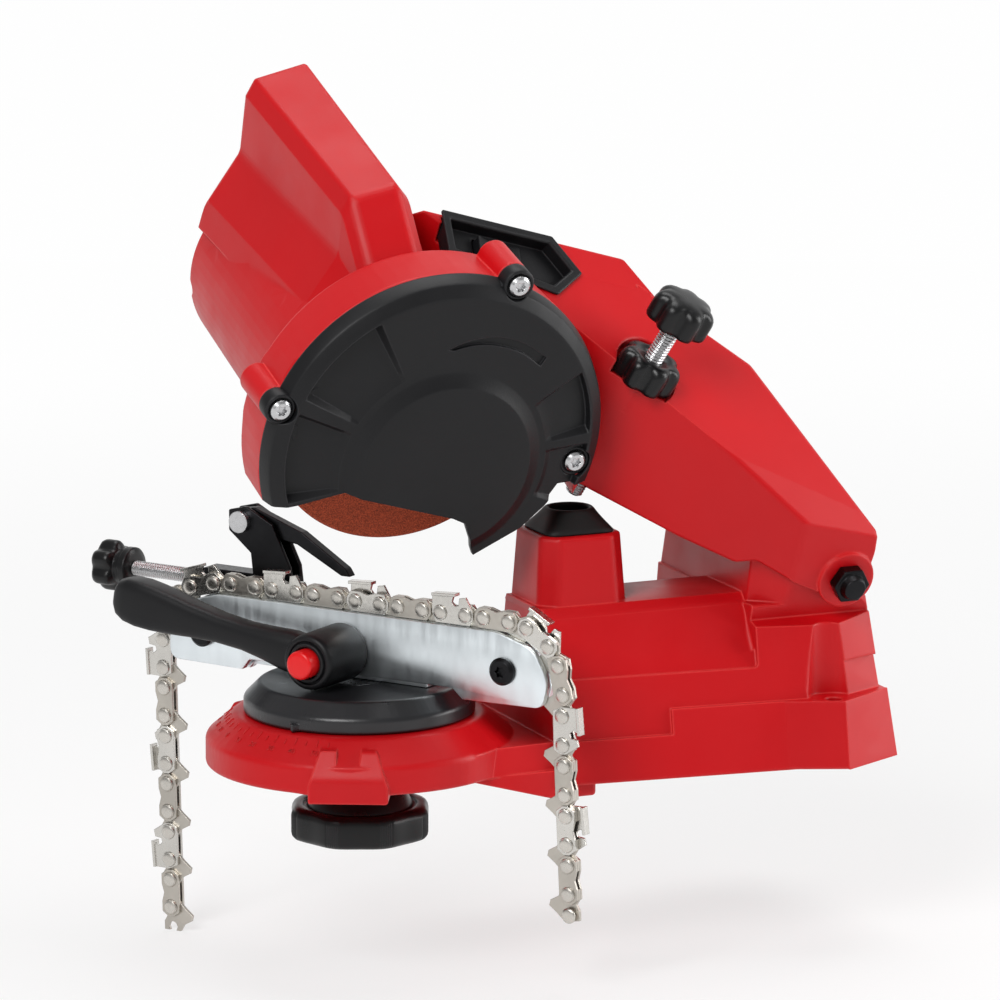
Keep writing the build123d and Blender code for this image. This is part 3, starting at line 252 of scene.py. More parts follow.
RED = (0.565, 0.0022, 0.0058)
# the edge colours are painted highlights, lighter than the base colours
RED_EDGE_HIGHLIGHT = (0.80, 0.050, 0.048)
BLACK = (0.0070, 0.0070, 0.0080)
BLACK_EDGE_HIGHLIGHT = (0.030, 0.030, 0.033)
M = {}
M["red"] = plastic("red_housing", RED, 0.40, RED_EDGE_HIGHLIGHT, 1000.0, 0.16, spec=0.30, mottle=0.04)
M["black"] = plastic("black_plastic", BLACK, 0.42, BLACK_EDGE_HIGHLIGHT, 1100.0, 0.30, 0.0009, spec=0.26)
# the fourth colour of each plastic is its painted edge highlight
M["knob"] = plastic("knob_plastic", (0.0045, 0.0045, 0.0050), 0.30, (0.020, 0.020, 0.022),
                    1300.0, 0.05, 0.0008, spec=0.32)
M["plate"] = plastic("turntable_plastic", (0.012, 0.012, 0.014), 0.30, (0.040, 0.040, 0.044),
                     1100.0, 0.10, 0.0009, spec=0.55)
M["rubber"] = plastic("boot_rubber", (0.006, 0.006, 0.006), 0.55, (0.012, 0.012, 0.012),
                      700.0, 0.2, 0.0015, spec=0.3)
M["button"] = plastic("button_plastic", (0.78, 0.008, 0.010), 0.32, (0.90, 0.05, 0.05),
                      900.0, 0.10, 0.0006, coat=0.1, spec=0.35)
M["zinc"] = metal("zinc_plate", (0.88, 0.94, 0.97), 0.36, (1.0, 1.0, 0.12), 0.86, 260.0, 0.03)
M["steel"] = metal("bright_steel", (0.62, 0.62, 0.63), 0.26)
M["blacksteel"] = metal("black_steel", (0.028, 0.028, 0.03), 0.34, dark=0.6)
M["chain"] = metal("chain_steel", (0.58, 0.545, 0.49), 0.36, dark=0.80)
M["cutter"] = metal("cutter_chrome", (0.68, 0.66, 0.62), 0.24, dark=0.85)
M["rivet"] = metal("rivet_steel", (0.66, 0.63, 0.58), 0.28, dark=0.85)
M["lamination"] = metal("motor_iron", (0.20, 0.16, 0.14), 0.5, (1, 1, 14.0), 0.7, 400.0, 0.2)


def abrasive():
    color = (0.36, 0.062, 0.026)
    s = Surface("bonded_grit", color, 0.85, spec=0.3)
    s.bump(s.grains(1500.0), 0.6, 0.0003)
    fine = s.noise(1800.0, 2.0)
    base = s.mix(s.spread(fine, 0.0, 1.0, 0.35, 0.65), tint(color, 0.6), tint(color, 1.5))
    return s.finish(base, s.spread(fine, 0.75, 0.95))


M["grit"] = abrasive()

DRESS = {
    "red": ["base_shell", "arm_shell", "head_shell"],
    "black": ["guard_cover", "switch_bezel", "switch_rocker", "clamp_lever", "cord_gland"],
    "plate": ["turntable"],
    "knob": ["depth_knob", "lock_knob", "table_lock_knob", "stop_knob"],
    "rubber": ["spring_boot"],
    "button": ["lever_button"],
    "zinc": ["vise_jaw_front", "vise_jaw_rear"],
    "steel": ["guard_screws", "depth_screw", "depth_stop", "depth_insert", "swivel_bolt",
              "clamp_stud", "stop_screw", "pawl_pin", "lock_washer", "wheel_flange_inner",
              "wheel_flange_outer", "arbor_nut", "motor_bearings"],
    "blacksteel": ["pivot_bolt", "pivot_nut", "vise_screws", "stop_bracket", "stop_pawl"],
    "chain": ["chain_drive_links", "chain_side_links", "chain_tail_left_drive_links",
              "chain_tail_left_side_links", "chain_tail_right_drive_links",
              "chain_tail_right_side_links"],
    "cutter": ["chain_cutters", "chain_tail_left_cutters", "chain_tail_right_cutters"],
    "lamination": ["motor_stator", "motor_rotor"],
    "grit": ["grinding_wheel"],
}
for key, names in DRESS.items():
    for name in names:
        obj = frame["nodes"][name]
        if not obj.material_slots:
            obj.data.materials.append(M[key])
        for s in obj.material_slots:
            s.link = "OBJECT"
            s.material = M[key]


# --------------------------------------------------------------- added pieces
def circle(radius, sides):
    """Points of a circle about the origin."""
    turns = [2 * math.pi * i / sides for i in range(sides)]
    return [(radius * math.cos(a), radius * math.sin(a)) for a in turns]


def squircle(half_x, half_y, square, count):
    """Points of a superellipse about the origin; square is its exponent."""
    out = []
    for i in range(count):
        c, s = math.cos(2 * math.pi * i / count), math.sin(2 * math.pi * i / count)
        out.append((half_x * math.copysign(abs(c) ** (2 / square), c),
                    half_y * math.copysign(abs(s) ** (2 / square), s)))
    return out


def face_out(mesh):
    """Turn all faces of a closed mesh outward."""
    bm = bmesh.new()
    bm.from_mesh(mesh)
    bmesh.ops.recalc_face_normals(bm, faces=bm.faces[:])
    bm.to_mesh(mesh)
    bm.free()


def add_piece(name, verts, faces, body, material, matrix, smooth=False):
    """A mesh piece in local millimetres, placed by matrix, riding on a CAD body."""
    mesh = bpy.data.meshes.new(name)
    mesh.from_pydata([tuple(v) for v in verts], [], faces)
    mesh.transform(matrix)
    mesh.validate()
    for poly in mesh.polygons:
        poly.use_smooth = smooth
    obj = bpy.data.objects.new(name, mesh)
    bpy.context.scene.collection.objects.link(obj)
    obj.data.materials.append(M[material])
    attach(obj, body)
    return obj


class Build:
    """Collects vertices and faces of one piece."""

    def __init__(self):
        self.verts = []
        self.faces = []

    def loops(self, loops, cap_start=True, cap_end=True):
        """Skin a row of closed loops with as many points each."""
        base = len(self.verts)
        n = len(loops[0])
        for loop in loops:
            self.verts.extend(loop)
        for r in range(len(loops) - 1):
            for i in range(n):
                a = base + r * n + i
                b = base + r * n + (i + 1) % n
                self.faces.append((a, b, b + n, a + n))
        if cap_start:
            self.faces.append(tuple(base + i for i in reversed(range(n))))
        if cap_end:
            self.faces.append(tuple(base + (len(loops) - 1) * n + i for i in range(n)))

    def turned(self, profile, place, sides):
        """A turned piece from (radius, height) pairs; place maps local points."""
        self.loops([[place(x, y, z) for x, y in circle(r, sides)] for r, z in profile])


def thread_profile(radius, depth, pitch, z0, z1, sides, per_pitch):
    """Rings of a helical thread between z0 and z1; the crest is at radius."""
    count = int((z1 - z0) / pitch * per_pitch)
    loops = []
    for j in range(count + 1):
        z = z0 + (z1 - z0) * j / count
        loop = []
        for i in range(sides):
            phase = (z / pitch - i / sides) % 1.0
            r = radius - depth * abs(2 * phase - 1)
            a = 2 * math.pi * i / sides
            loop.append((r * math.cos(a), r * math.sin(a), z))
        loops.append(loop)
    return loops


def axis_matrix(origin, along, up):
    """Local z along the given direction, local x as near to up as it can be."""
    z = Vector(along).normalized()
    x = (Vector(up) - z * z.dot(Vector(up))).normalized()
    return basis(origin, x, z.cross(x), z)


# ------------------------------------------------- CAD forms with rounded edges
SHARP = math.radians(24.0)          # edges with less of a fold stay as they are
FLAT = math.radians(1.0)            # faces that fold less than this are joined
WELD = 2e-6
SEGMENTS = 3
ROOM_SHARE = 0.4                    # part of the room at an edge that a rounding may take
LEAST_SHARE = 0.28                  # of the full width; a lesser rounding is left out
ALONG = 0.87                        # cosine from which an edge counts as going on
THROWN = 0.45                       # widths that a rounding may leave the CAD form by
INWARD = -0.1                       # cosine to the CAD face from which a face is turned over
ATTEMPTS = 6


def nearest(p, edge):
    """Point of the edge nearest to p."""
    a, b = edge.verts[0].co, edge.verts[1].co
    near, t = intersect_point_line(p, a, b)
    return a if t < 0 else b if t > 1 else near


def room_at(edge):
    """How far a rounding of edge can reach before it meets another edge of its faces."""
    room = 1.0
    for vert in edge.verts:
        along = (edge.other_vert(vert).co - vert.co).normalized()
        for other in vert.link_edges:
            if other is edge:
                continue
            way = other.other_vert(vert).co - vert.co
            if abs(way.normalized().dot(along)) < ALONG:
                room = min(room, way.length * ROOM_SHARE)
    ends = [v.co for v in edge.verts]
    samples = [ends[0].lerp(ends[1], t) for t in (0.1, 0.5, 0.9)]
    for face in edge.link_faces:
        for other in face.edges:
            if other is edge or set(other.verts) & set(edge.verts):
                continue
            for p in samples:
                room = min(room, (p - nearest(p, other)).length * ROOM_SHARE)
    return room


def crossings(mesh):
    """Middles of small faces that pass through another face."""
    faces = [tuple(p.vertices) for p in mesh.polygons]
    tree = BVHTree.FromPolygons([v.co for v in mesh.vertices], faces)
    found = []
    for i, j in tree.overlap(tree):
        if i < j and not set(faces[i]) & set(faces[j]):
            small = min(mesh.polygons[i], mesh.polygons[j], key=lambda p: p.area)
            found.append(small.center.copy())
    return found


def bevelled(holder, width):
    """The holder's mesh with its weighted edges rounded."""
    mod = holder.modifiers.new("edges", "BEVEL")
    mod.width = width
    mod.segments = SEGMENTS
    mod.limit_method = "WEIGHT"
    mod.use_clamp_overlap = False
    graph = bpy.context.evaluated_depsgraph_get()
    done = bpy.data.meshes.new_from_object(holder.evaluated_get(graph))
    holder.modifiers.clear()
    return done


def faults(mesh, tree, width):
    """Places where a rounding went wrong, each with how far it was thrown."""
    found = []
    for v in mesh.vertices:
        far = tree.find_nearest(v.co)[3]
        if far > THROWN * width:
            found.append((v.co.copy(), far))
    found += [(p, 0.0) for p in crossings(mesh)]
    found += [(p.center.copy(), 0.0) for p in mesh.polygons
              if p.normal.dot(tree.find_nearest(p.center)[1]) < INWARD]
    return found


def rounded(node, key, slot_name, width, hollows=True):
    """The node's own form with its edges rounded in the mesh; narrow places get less."""
    source = frame["nodes"][node]
    bm = bmesh.new()
    bm.from_mesh(source.data)
    bmesh.ops.remove_doubles(bm, verts=bm.verts, dist=WELD)
    bmesh.ops.dissolve_limit(bm, angle_limit=FLAT, verts=bm.verts[:], edges=bm.edges[:])
    weight = bm.edges.layers.float.new("bevel_weight_edge")
    for edge in bm.edges:
        if len(edge.link_faces) != 2:
            continue
        if edge.calc_face_angle(0) > SHARP and (hollows or edge.is_convex):
            share = min(1.0, room_at(edge) / width)
            edge[weight] = share if share > LEAST_SHARE else 0.0
    for face in bm.faces:
        face.smooth = False
    tree = BVHTree.FromBMesh(bm)
    holder = bpy.data.objects.new(node + "_rounded", bpy.data.meshes.new(node))
    bpy.context.scene.collection.objects.link(holder)
    # edges near a fault get half their rounding at first, and later none
    for attempt in range(ATTEMPTS):
        bm.to_mesh(holder.data)
        done = bevelled(holder, width)
        thrown = faults(done, tree, width)
        if not thrown:
            break
        for edge in bm.edges:
            if edge[weight] == 0:
                continue
            for p, far in thrown:
                if (p - nearest(p, edge)).length < 1.3 * far + 1.5 * width:
                    edge[weight] = 0.0 if attempt > 1 else edge[weight] * 0.5
                    break
    bm.free()
    done.name = node + "_rounded"
    done.materials.clear()
    holder.data = done
    done.materials.append(M[key])
    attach(holder, source["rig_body"])
    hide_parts(node)


# node, material, record slot, width in metres, and whether hollow edges are rounded too
ROUNDED = [
    ("base_shell", "red", "red_housing", 0.0016),
    ("arm_shell", "red", "red_housing", 0.0016),
    ("head_shell", "red", "red_housing", 0.0022),
    ("turntable", "plate", "black_plastic", 0.0009),
    ("switch_bezel", "black", "black_plastic", 0.0010, False),
    ("switch_rocker", "black", "black_plastic", 0.0006, False),
    ("cord_gland", "black", "black_plastic", 0.0008),
    ("vise_jaw_rear", "zinc", "zinc_plate", 0.0005),
    ("stop_bracket", "blacksteel", "black_steel", 0.0005),
    ("stop_pawl", "blacksteel", "black_steel", 0.0005),
    ("pivot_bolt", "blacksteel", "black_steel", 0.0006),
    ("pivot_nut", "blacksteel", "black_steel", 0.0006),
]
for entry in ROUNDED:
    rounded(*entry)


# ---------------------------------------------------------------------- screws
DEPTH_R, DEPTH_THREAD, DEPTH_PITCH = 3.75, 0.55, 1.25
SHANK_R, POINT_R = 3.3, 2.9
SHANK = (16.0, 48.0)                # heights between which the screw has no thread
DEPTH_SIDES = 18
SCREW_TIP = (84.9, 34.45, -3.0)
SCREW_A = math.radians(19.9)
SCREW_B = math.radians(8.65)
SCREW_DIR = (math.sin(SCREW_A) * math.cos(SCREW_B), math.cos(SCREW_A) * math.cos(SCREW_B),
             math.sin(SCREW_B))
SCREW_PLACE = ARM @ axis_matrix(SCREW_TIP, SCREW_DIR, (0, 0, 1))
FEED_V, FEED_K = 65.0, -14.0        # the feed screw's height and depth in the vise's frame


def make_depth_thread():
    """Depth screw: a plain shank with its thread above and below."""
    b = Build()
    tip = [[(x, y, 0.0) for x, y in circle(POINT_R, DEPTH_SIDES)]]
    plain = [[(x, y, z) for x, y in circle(SHANK_R, DEPTH_SIDES)] for z in SHANK]
    low, high = (thread_profile(DEPTH_R, DEPTH_THREAD, DEPTH_PITCH, z0, z1, DEPTH_SIDES, 6)
                 for z0, z1 in ((0.8, 15.5), (48.5, 86.5)))
    b.loops(tip + low + plain + high)
    screw = add_piece("depth_screw_thread", b.verts, b.faces, "depth_adjuster", "steel",
                      SCREW_PLACE)
    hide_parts("depth_screw")


def make_feed_thread():
    """Feed screw of the chain stop."""
    b = Build()
    b.loops(thread_profile(3.0, 0.45, 1.0, -36.5, 37.0, 16, 5))
    place = VISE @ axis_matrix((-80.0, FEED_V, FEED_K), (1, 0, 0), (0, 1, 0))
    screw = add_piece("stop_screw_thread", b.verts, b.faces, "feed", "steel", place)
    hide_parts("stop_screw")


# ------------------------------------------------------ moulded grips and knobs
def lobed(radius, lobes, depth, power, profile, count, ribs=0.0):
    """Rings of a lobed grip from (scale, share of the hollows, height); ribs on the lobes."""
    loops = []
    for scale, share, z in profile:
        loop = []
        for i in range(count):
            a = 2 * math.pi * i / count
            hollow = (0.5 - 0.5 * math.cos(lobes * a)) ** power
            r = radius * scale * (1 - depth * share * hollow)
            if ribs and share > 0.95 and hollow < 0.18 and i % 2:
                r -= ribs
            loop.append((r * math.cos(a), r * math.sin(a), z))
        loops.append(loop)
    return loops


KNOB_R, KNOB_LOBES, KNOB_HOLLOW, KNOB_POWER = 12.6, 7, 0.19, 1.5
LOCK_Z, DEPTH_Z = 53.2, 79.5        # feet of the two knobs along the depth screw
GRIP_FOOT = [(0.70, 0.8, 0.0), (0.88, 1, 0.15), (0.96, 1, 0.7), (0.995, 1, 1.7), (1.0, 1, 2.8),
             (1.0, 1, 7.4)]
GRIP_DOME = [(0.992, 1, 8.6), (0.965, 0.97, 9.8), (0.915, 0.9, 10.8), (0.84, 0.78, 11.65),
             (0.74, 0.6, 12.25), (0.60, 0.35, 12.65), (0.42, 0.15, 12.9), (0.2, 0, 13.0)]
GRIP_DISH = [(0.992, 1, 8.6), (0.965, 0.97, 9.8), (0.915, 0.9, 10.8), (0.85, 0.8, 11.5),
             (0.77, 0.65, 11.9), (0.66, 0.4, 12.0), (0.55, 0.15, 11.9), (0.50, 0, 11.5),
             (0.31, 0, 11.3), (0.31, 0, 4.0)]
TABLE_GRIP = [(0.78, 0, -23.7), (0.90, 0.8, -23.55), (0.955, 1, -23.0), (0.99, 1, -21.9),
              (1.0, 1, -20.6), (1.0, 1, -14.2), (0.99, 1, -12.9), (0.965, 0.9, -11.8),
              (0.93, 0.7, -11.1), (0.89, 0.5, -10.75), (0.83, 0.1, -10.7), (0.80, 0, -10.9),
              (0.785, 0, -11.9), (0.74, 0, -11.9), (0.725, 0, -10.4), (0.58, 0, -3.0),
              (0.50, 0, 0.2), (0.438, 0, 2.9), (0.40, 0, 3.2)]
STOP_GRIP = [(0.32, 0, 0.0), (0.52, 0, 0.0), (0.74, 0, 0.3), (0.80, 0, 0.9), (0.80, 0, 3.4),
             (0.74, 0, 3.9), (0.68, 0, 4.2), (0.68, 0, 6.4), (0.76, 0.2, 6.9), (0.92, 0.8, 7.4),
             (0.985, 1, 8.2), (1.0, 1, 9.4), (1.0, 1, 12.6), (0.985, 1, 13.8), (0.93, 0.9, 14.9),
             (0.82, 0.7, 15.6), (0.62, 0.3, 15.9), (0.3, 0, 16.0)]


def make_depth_grips():
    """The two knobs on the depth screw: domed above, dished below."""
    for node, body, z, top in (("depth_knob", "depth_grip", DEPTH_Z, GRIP_DOME),
                               ("lock_knob", "depth_lock", LOCK_Z, GRIP_DISH)):
        b = Build()
        b.loops(lobed(KNOB_R, KNOB_LOBES, KNOB_HOLLOW, KNOB_POWER, GRIP_FOOT + top, 112))
        grip = add_piece(node + "_grip", b.verts, b.faces, body, "knob",
                         SCREW_PLACE @ Matrix.Translation((0, 0, z)), smooth=True)
        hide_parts(node)


def make_table_grip():
    """Broad ribbed knob under the table with its collar."""
    b = Build()
    b.loops(lobed(27.4, 8, 0.055, 0.9, TABLE_GRIP, 384, ribs=0.28))
    grip = add_piece("table_lock_grip", b.verts, b.faces, "table_lock", "knob",
                     TABLE, smooth=True)
    grip.data.set_sharp_from_angle(angle=math.radians(38.0))
    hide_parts("table_lock_knob")


def make_stop_grip():
    """Small lobed knob of the chain stop, with a collar towards the screw."""
    b = Build()
    b.loops(lobed(10.0, 6, 0.20, 1.5, STOP_GRIP, 96))
    place = VISE @ axis_matrix((-113.0, FEED_V, FEED_K), (-1, 0, 0), (0, 1, 0))
    grip = add_piece("stop_grip", b.verts, b.faces, "feed_grip", "knob", place,
                     smooth=True)
    grip.data.set_sharp_from_angle(angle=math.radians(40.0))
    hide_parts("stop_knob")


# ------------------------------------------------------- clamping lever and jaw
STUD = (-4.0, 48.5)
STUD_BORE = 4.3
HUB_FOOT = 4.1
HUB_TOP = 30.0
HUB_SIDES = 48
HUB_PROFILE = [(9.4, HUB_FOOT), (10.6, HUB_FOOT + 0.5), (11.0, HUB_FOOT + 1.6), (10.9, 18.0),
               (10.7, 27.4), (10.45, 28.8), (9.9, 29.6), (9.2, 29.9), (8.6, 29.9), (8.3, 29.6),
               (8.1, 28.7), (7.7, 28.7), (7.6, 30.2), (7.3, 30.6), (6.4, 30.6), (6.1, 30.3),
               (6.0, 26.6), (STUD_BORE, 26.5), (STUD_BORE, HUB_FOOT)]
BUTTON_PROFILE = [(5.5, HUB_TOP - 1.7), (5.6, HUB_TOP), (5.5, HUB_TOP + 4.6),
                  (5.3, HUB_TOP + 5.3), (4.8, HUB_TOP + 5.7), (3.6, HUB_TOP + 5.85),
                  (1.0, HUB_TOP + 5.9)]
BAR_END = (-95.0, 63.0)
BAR_SIDES = 40
# along the bar, middle, half height, lowest and highest depth, exponent of the outline;
# the first lies outside the stud's bore
BAR = [(7.0, 0.0, 7.8, 15.3, 28.7, 2.6), (12.0, 0.0, 8.0, 15.5, 28.8, 2.8),
       (22.0, -0.3, 6.4, 16.0, 28.6, 3.0), (32.0, -0.3, 5.4, 16.2, 28.2, 3.0),
       (44.0, -0.2, 5.5, 16.2, 28.2, 3.2), (56.0, 0.0, 6.6, 16.0, 28.4, 3.6),
       (66.0, 0.1, 7.9, 15.8, 28.6, 4.2), (74.0, 0.1, 8.7, 15.6, 28.8, 4.6),
       (81.0, 0.0, 9.0, 15.6, 28.8, 4.8), (86.5, -0.1, 8.6, 15.9, 28.5, 4.4),
       (90.2, -0.2, 7.2, 16.6, 27.8, 3.8), (92.0, -0.2, 5.0, 17.8, 26.6, 3.2)]


def make_lever():
    """Clamping lever: turned hub with a recess for the button, bar that swells to a paddle."""
    b = Build()
    loops = [[(STUD[0] + x, STUD[1] + y, d) for x, y in circle(r, HUB_SIDES)]
             for r, d in HUB_PROFILE]
    b.loops(loops + [loops[0]], cap_start=False, cap_end=False)
    a = math.atan2(BAR_END[1] - STUD[1], BAR_END[0] - STUD[0])
    u = Vector((math.cos(a), math.sin(a), 0))
    w = Vector((-u.y, u.x, 0))
    bar = []
    for t, mid, half, d0, d1, square in BAR:
        loop = []
        for y, z in squircle(half, (d1 - d0) / 2, square, BAR_SIDES):
            p = Vector((STUD[0], STUD[1], 0)) + u * t + w * (mid + y)
            loop.append((p.x, p.y, (d0 + d1) / 2 + z))
        bar.append(loop)
    b.loops(bar)
    lever = add_piece("clamp_lever_grip", b.verts, b.faces, "lever", "black",
                      VISE, smooth=True)
    lever.data.set_sharp_from_angle(angle=math.radians(35.0))
    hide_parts("clamp_lever")


def make_button():
    """Push button; pressed in, its foot stays clear of the hub's floor."""
    b = Build()
    b.turned(BUTTON_PROFILE, lambda x, y, d: (STUD[0] + x, STUD[1] + y, d), 40)
    button = add_piece("lever_push_button", b.verts, b.faces, "button", "button",
                       VISE, smooth=True)
    button.data.set_sharp_from_angle(angle=math.radians(50.0))
    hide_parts("lever_button")


# corners of the front jaw with the reach of their rounding
JAW_OUTLINE = [(-84.8, 36.0, 6.5), (-84.8, 45.5, 10.0), (-79.5, 58.5, 12.0),
               (-62.5, 63.5, 20.0), (63.7, 63.5, 20.0), (79.5, 58.7, 10.0), (86.0, 47.0, 12.0),
               (83.5, 36.4, 5.0), (48.2, 35.8, 1.5), (43.8, 39.7, 1.5), (-47.7, 39.7, 1.5),
               (-51.0, 35.4, 1.5)]
JAW_FACES = ((0.6, 0.8), (0.0, 1.2), (0.0, 3.3), (0.15, 3.6), (0.5, 3.8))   # inset, depth


def round_corners(points, steps=7):
    """Closed outline with an arc-like curve at each corner, as long as its radius allows."""
    out = []
    n = len(points)
    for i, (x, y, r) in enumerate(points):
        p = Vector((x, y))
        a = Vector(points[i - 1][:2]) - p
        c = Vector(points[(i + 1) % n][:2]) - p
        turn = math.pi - a.angle(c)
        reach = min(r * math.tan(turn / 2), 0.49 * a.length, 0.49 * c.length)
        start, end = p + a.normalized() * reach, p + c.normalized() * reach
        for k in range(steps + 1):
            t = k / steps
            out.append(start * (1 - t) ** 2 + p * (2 * t * (1 - t)) + end * t ** 2)
    return out


def inset(outline, by):
    """Outline moved inward along its corner normals (it runs clockwise)."""
    out = []
    n = len(outline)
    for i, p in enumerate(outline):
        way = (outline[(i + 1) % n] - outline[i - 1]).normalized()
        out.append(p + Vector((way.y, -way.x)) * by)
    return out


def make_front_jaw():
    """Front jaw plate with round corners and broken edges; its screws and stud cross it."""
    outline = round_corners(JAW_OUTLINE)
    b = Build()
    b.loops([[(p.x, p.y, d) for p in inset(outline, by)] for by, d in JAW_FACES])
    jaw = add_piece("vise_jaw_front_plate", b.verts, b.faces, "table", "zinc",
                    VISE, smooth=True)
    jaw.data.set_sharp_from_angle(angle=math.radians(30.0))
    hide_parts("vise_jaw_front")


# ----------------------------------------------------------------- wheel guard
GUARD = (16.5, 70.2)
GUARD_BACK = 11.0
FACE_R = 61.9
GUARD_RIM = [(68.0, GUARD_BACK), (66.7, 16.2), (66.2, 17.1), (65.6, 17.6), (FACE_R, 19.8)]
HUB = (18.8, 62.5)
GUARD_FACE = 20.0
HUB_FACE = 23.2
FAN_FOOT = 41.5
FAN_STEPS = 7
# first and last angle of each fan in degrees, and how deep it sinks at the rim
FANS = [(156.0, 190.0, 4.2), (117.0, 151.0, 4.2), (9.0, 34.0, 3.4), (-22.0, 5.0, 3.2)]
FAN_WALL = 2.0
ANGLE_STEP = 2.5
SEAM = -165                         # angles below it are listed a full turn later
# the opening for the wheel, below the guard
GUARD_CUT = [(-90, 54), (-52, 49), (-38, 50.9), (-19.4, 54.7), (24.3, 41.6), (29.5, 39),
             (35.8, 23.6), (53.8, 33.5), (62.9, 42.5), (68, 50), (92, 50), (92, -60), (-90, -60)]
CRESCENT_OUTER = [(15.5, 111.2), (24.0, 114.2), (34.0, 115.0), (45.0, 112.0), (55.6, 105.0)]
CRESCENT_INNER = [(17.5, 110.6), (26.0, 112.2), (35.0, 111.4), (45.0, 107.9), (53.6, 101.6)]
CRESCENT_FLOOR = 18.7
EARS = [(-47.8, 90.3), (41.9, 134.4), (73.9, 58.9)]
EAR_R = 5.9
EAR_PROFILE = [(EAR_R, 11.0), (6.2, 11.3), (6.2, 16.6), (EAR_R, 17.2), (5.4, 17.5), (4.9, 17.4),
               (4.6, 16.9), (4.5, 16.3), (2.1, 16.3), (2.1, 11.0)]
WEB_TOP = 16.2
WEB_HEAD = 4.9
WEB_STEPS = 8
SKIN = 2.3
SKIN_FROM = 62                      # radius from which the skin also draws in sideways


def rim_reach(angle, radius):
    """Distance from the hub's middle to a circle about the guard's middle."""
    ox, ov = HUB[0] - GUARD[0], HUB[1] - GUARD[1]
    along = ox * math.cos(angle) + ov * math.sin(angle)
    return -along + math.sqrt(radius ** 2 - ox ** 2 - ov ** 2 + along ** 2)


def guard_row(degrees):
    """Points of the guard's outer face from the hub outward, at one angle."""
    angle = math.radians(degrees)
    c, s = math.cos(angle), math.sin(angle)
    reach = rim_reach(angle, FACE_R) - 1.6
    depth = 0.0
    for a0, a1, deep in FANS:
        if a0 <= degrees <= a1:
            depth = deep * min(1.0, (degrees - a0) / FAN_WALL, (a1 - degrees) / FAN_WALL)
    row = [(2.0, HUB_FACE), (20.0, HUB_FACE), (33.4, HUB_FACE), (34.0, HUB_FACE - 0.15),
           (38.8, GUARD_FACE + 0.15), (39.3, GUARD_FACE), (FAN_FOOT, GUARD_FACE)]
    for i in range(1, FAN_STEPS + 1):
        t = i / FAN_STEPS
        row.append((FAN_FOOT + (reach - FAN_FOOT) * t, GUARD_FACE - depth * (0.25 + 0.75 * t)))
    row.append((reach + 0.7, GUARD_FACE))
    points = [(HUB[0] + r * c, HUB[1] + r * s, k) for r, k in row]
    for radius, k in reversed(GUARD_RIM):
        r = rim_reach(angle, radius)
        points.append((HUB[0] + r * c, HUB[1] + r * s, k))
    return points


def cutter(outline, z0, z1):
    """Closed prism in the arm's frame, to cut with."""
    b = Build()
    b.loops([[(x, y, z) for x, y in outline] for z in (z0, z1)])
    mesh = bpy.data.meshes.new("cut")
    mesh.from_pydata(b.verts, [], b.faces)
    mesh.transform(ARM)
    face_out(mesh)
    return mesh


def carve(piece, cutters):
    """Cut the closed meshes out of a black piece of the guard."""
    for mesh in cutters:
        tool = bpy.data.objects.new("cutter", mesh)
        bpy.context.scene.collection.objects.link(tool)
        mod = piece.modifiers.new("cut", "BOOLEAN")
        mod.operation = "DIFFERENCE"
        mod.solver = "EXACT"
        mod.use_hole_tolerant = True
        mod.object = tool
        graph = bpy.context.evaluated_depsgraph_get()
        done = bpy.data.meshes.new_from_object(piece.evaluated_get(graph))
        piece.modifiers.clear()
        piece.data = done
        bpy.data.objects.remove(tool)
    piece.data.materials.clear()
    piece.data.materials.append(M["black"])


def arc_points(points, steps=5):
    """A smooth line through the points (Catmull-Rom)."""
    out = []
    ends = [points[0]] + points + [points[-1]]
    for i in range(1, len(ends) - 2):
        p0, p1, p2, p3 = (Vector(p) for p in ends[i - 1:i + 3])
        for k in range(steps):
            t = k / steps
            out.append(0.5 * (2 * p1 + (p2 - p0) * t + (2 * p0 - 5 * p1 + 4 * p2 - p3) * t * t
                              + (3 * p1 - p0 - 3 * p2 + p3) * t ** 3))
    out.append(Vector(points[-1]))
    return [(p.x, p.y) for p in out]


def make_guard():
    """Guard with a bevelled rim, fans that sink towards the rim, crescent and raised hub."""
    degrees = {i * ANGLE_STEP - 180.0 for i in range(int(360 / ANGLE_STEP))}
    for a0, a1, deep in FANS:
        degrees |= {a0, a0 + FAN_WALL, a1 - FAN_WALL, a1}
    # the same angle isn't listed twice, once below and once above the half turn
    degrees = sorted(d for d in {round(d if d > SEAM else d + 360, 3) for d in degrees})
    rows = [guard_row(d) for d in degrees]
    n = len(rows[0])
    outer = [[row[j] for row in rows] for j in range(n)]
    inner = []
    for j in reversed(range(n)):
        loop = []
        for row in rows:
            x, v, k = row[j]
            dx, dv = x - GUARD[0], v - GUARD[1]
            r = math.hypot(dx, dv)
            shrink = (r - SKIN) / r if r > SKIN_FROM else 1.0
            loop.append((GUARD[0] + dx * shrink, GUARD[1] + dv * shrink,
                         k - SKIN if j < n - 1 else GUARD_BACK))
        inner.append(loop)
    b = Build()
    b.loops(outer + inner)
    guard = add_piece("guard_cover_moulding", b.verts, b.faces, "arm", "black",
                      ARM, smooth=True)
    face_out(guard.data)
    crescent = arc_points(CRESCENT_OUTER) + list(reversed(arc_points(CRESCENT_INNER)))
    holes = [[(x + p, v + q) for p, q in circle(EAR_R, 36)] for x, v in EARS]
    carve(guard, [cutter(GUARD_CUT, -30, 40), cutter(crescent, CRESCENT_FLOOR, 40)]
          + [cutter(hole, 5, 40) for hole in holes])
    guard.data.set_sharp_from_angle(angle=math.radians(17.0))
    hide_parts("guard_cover")


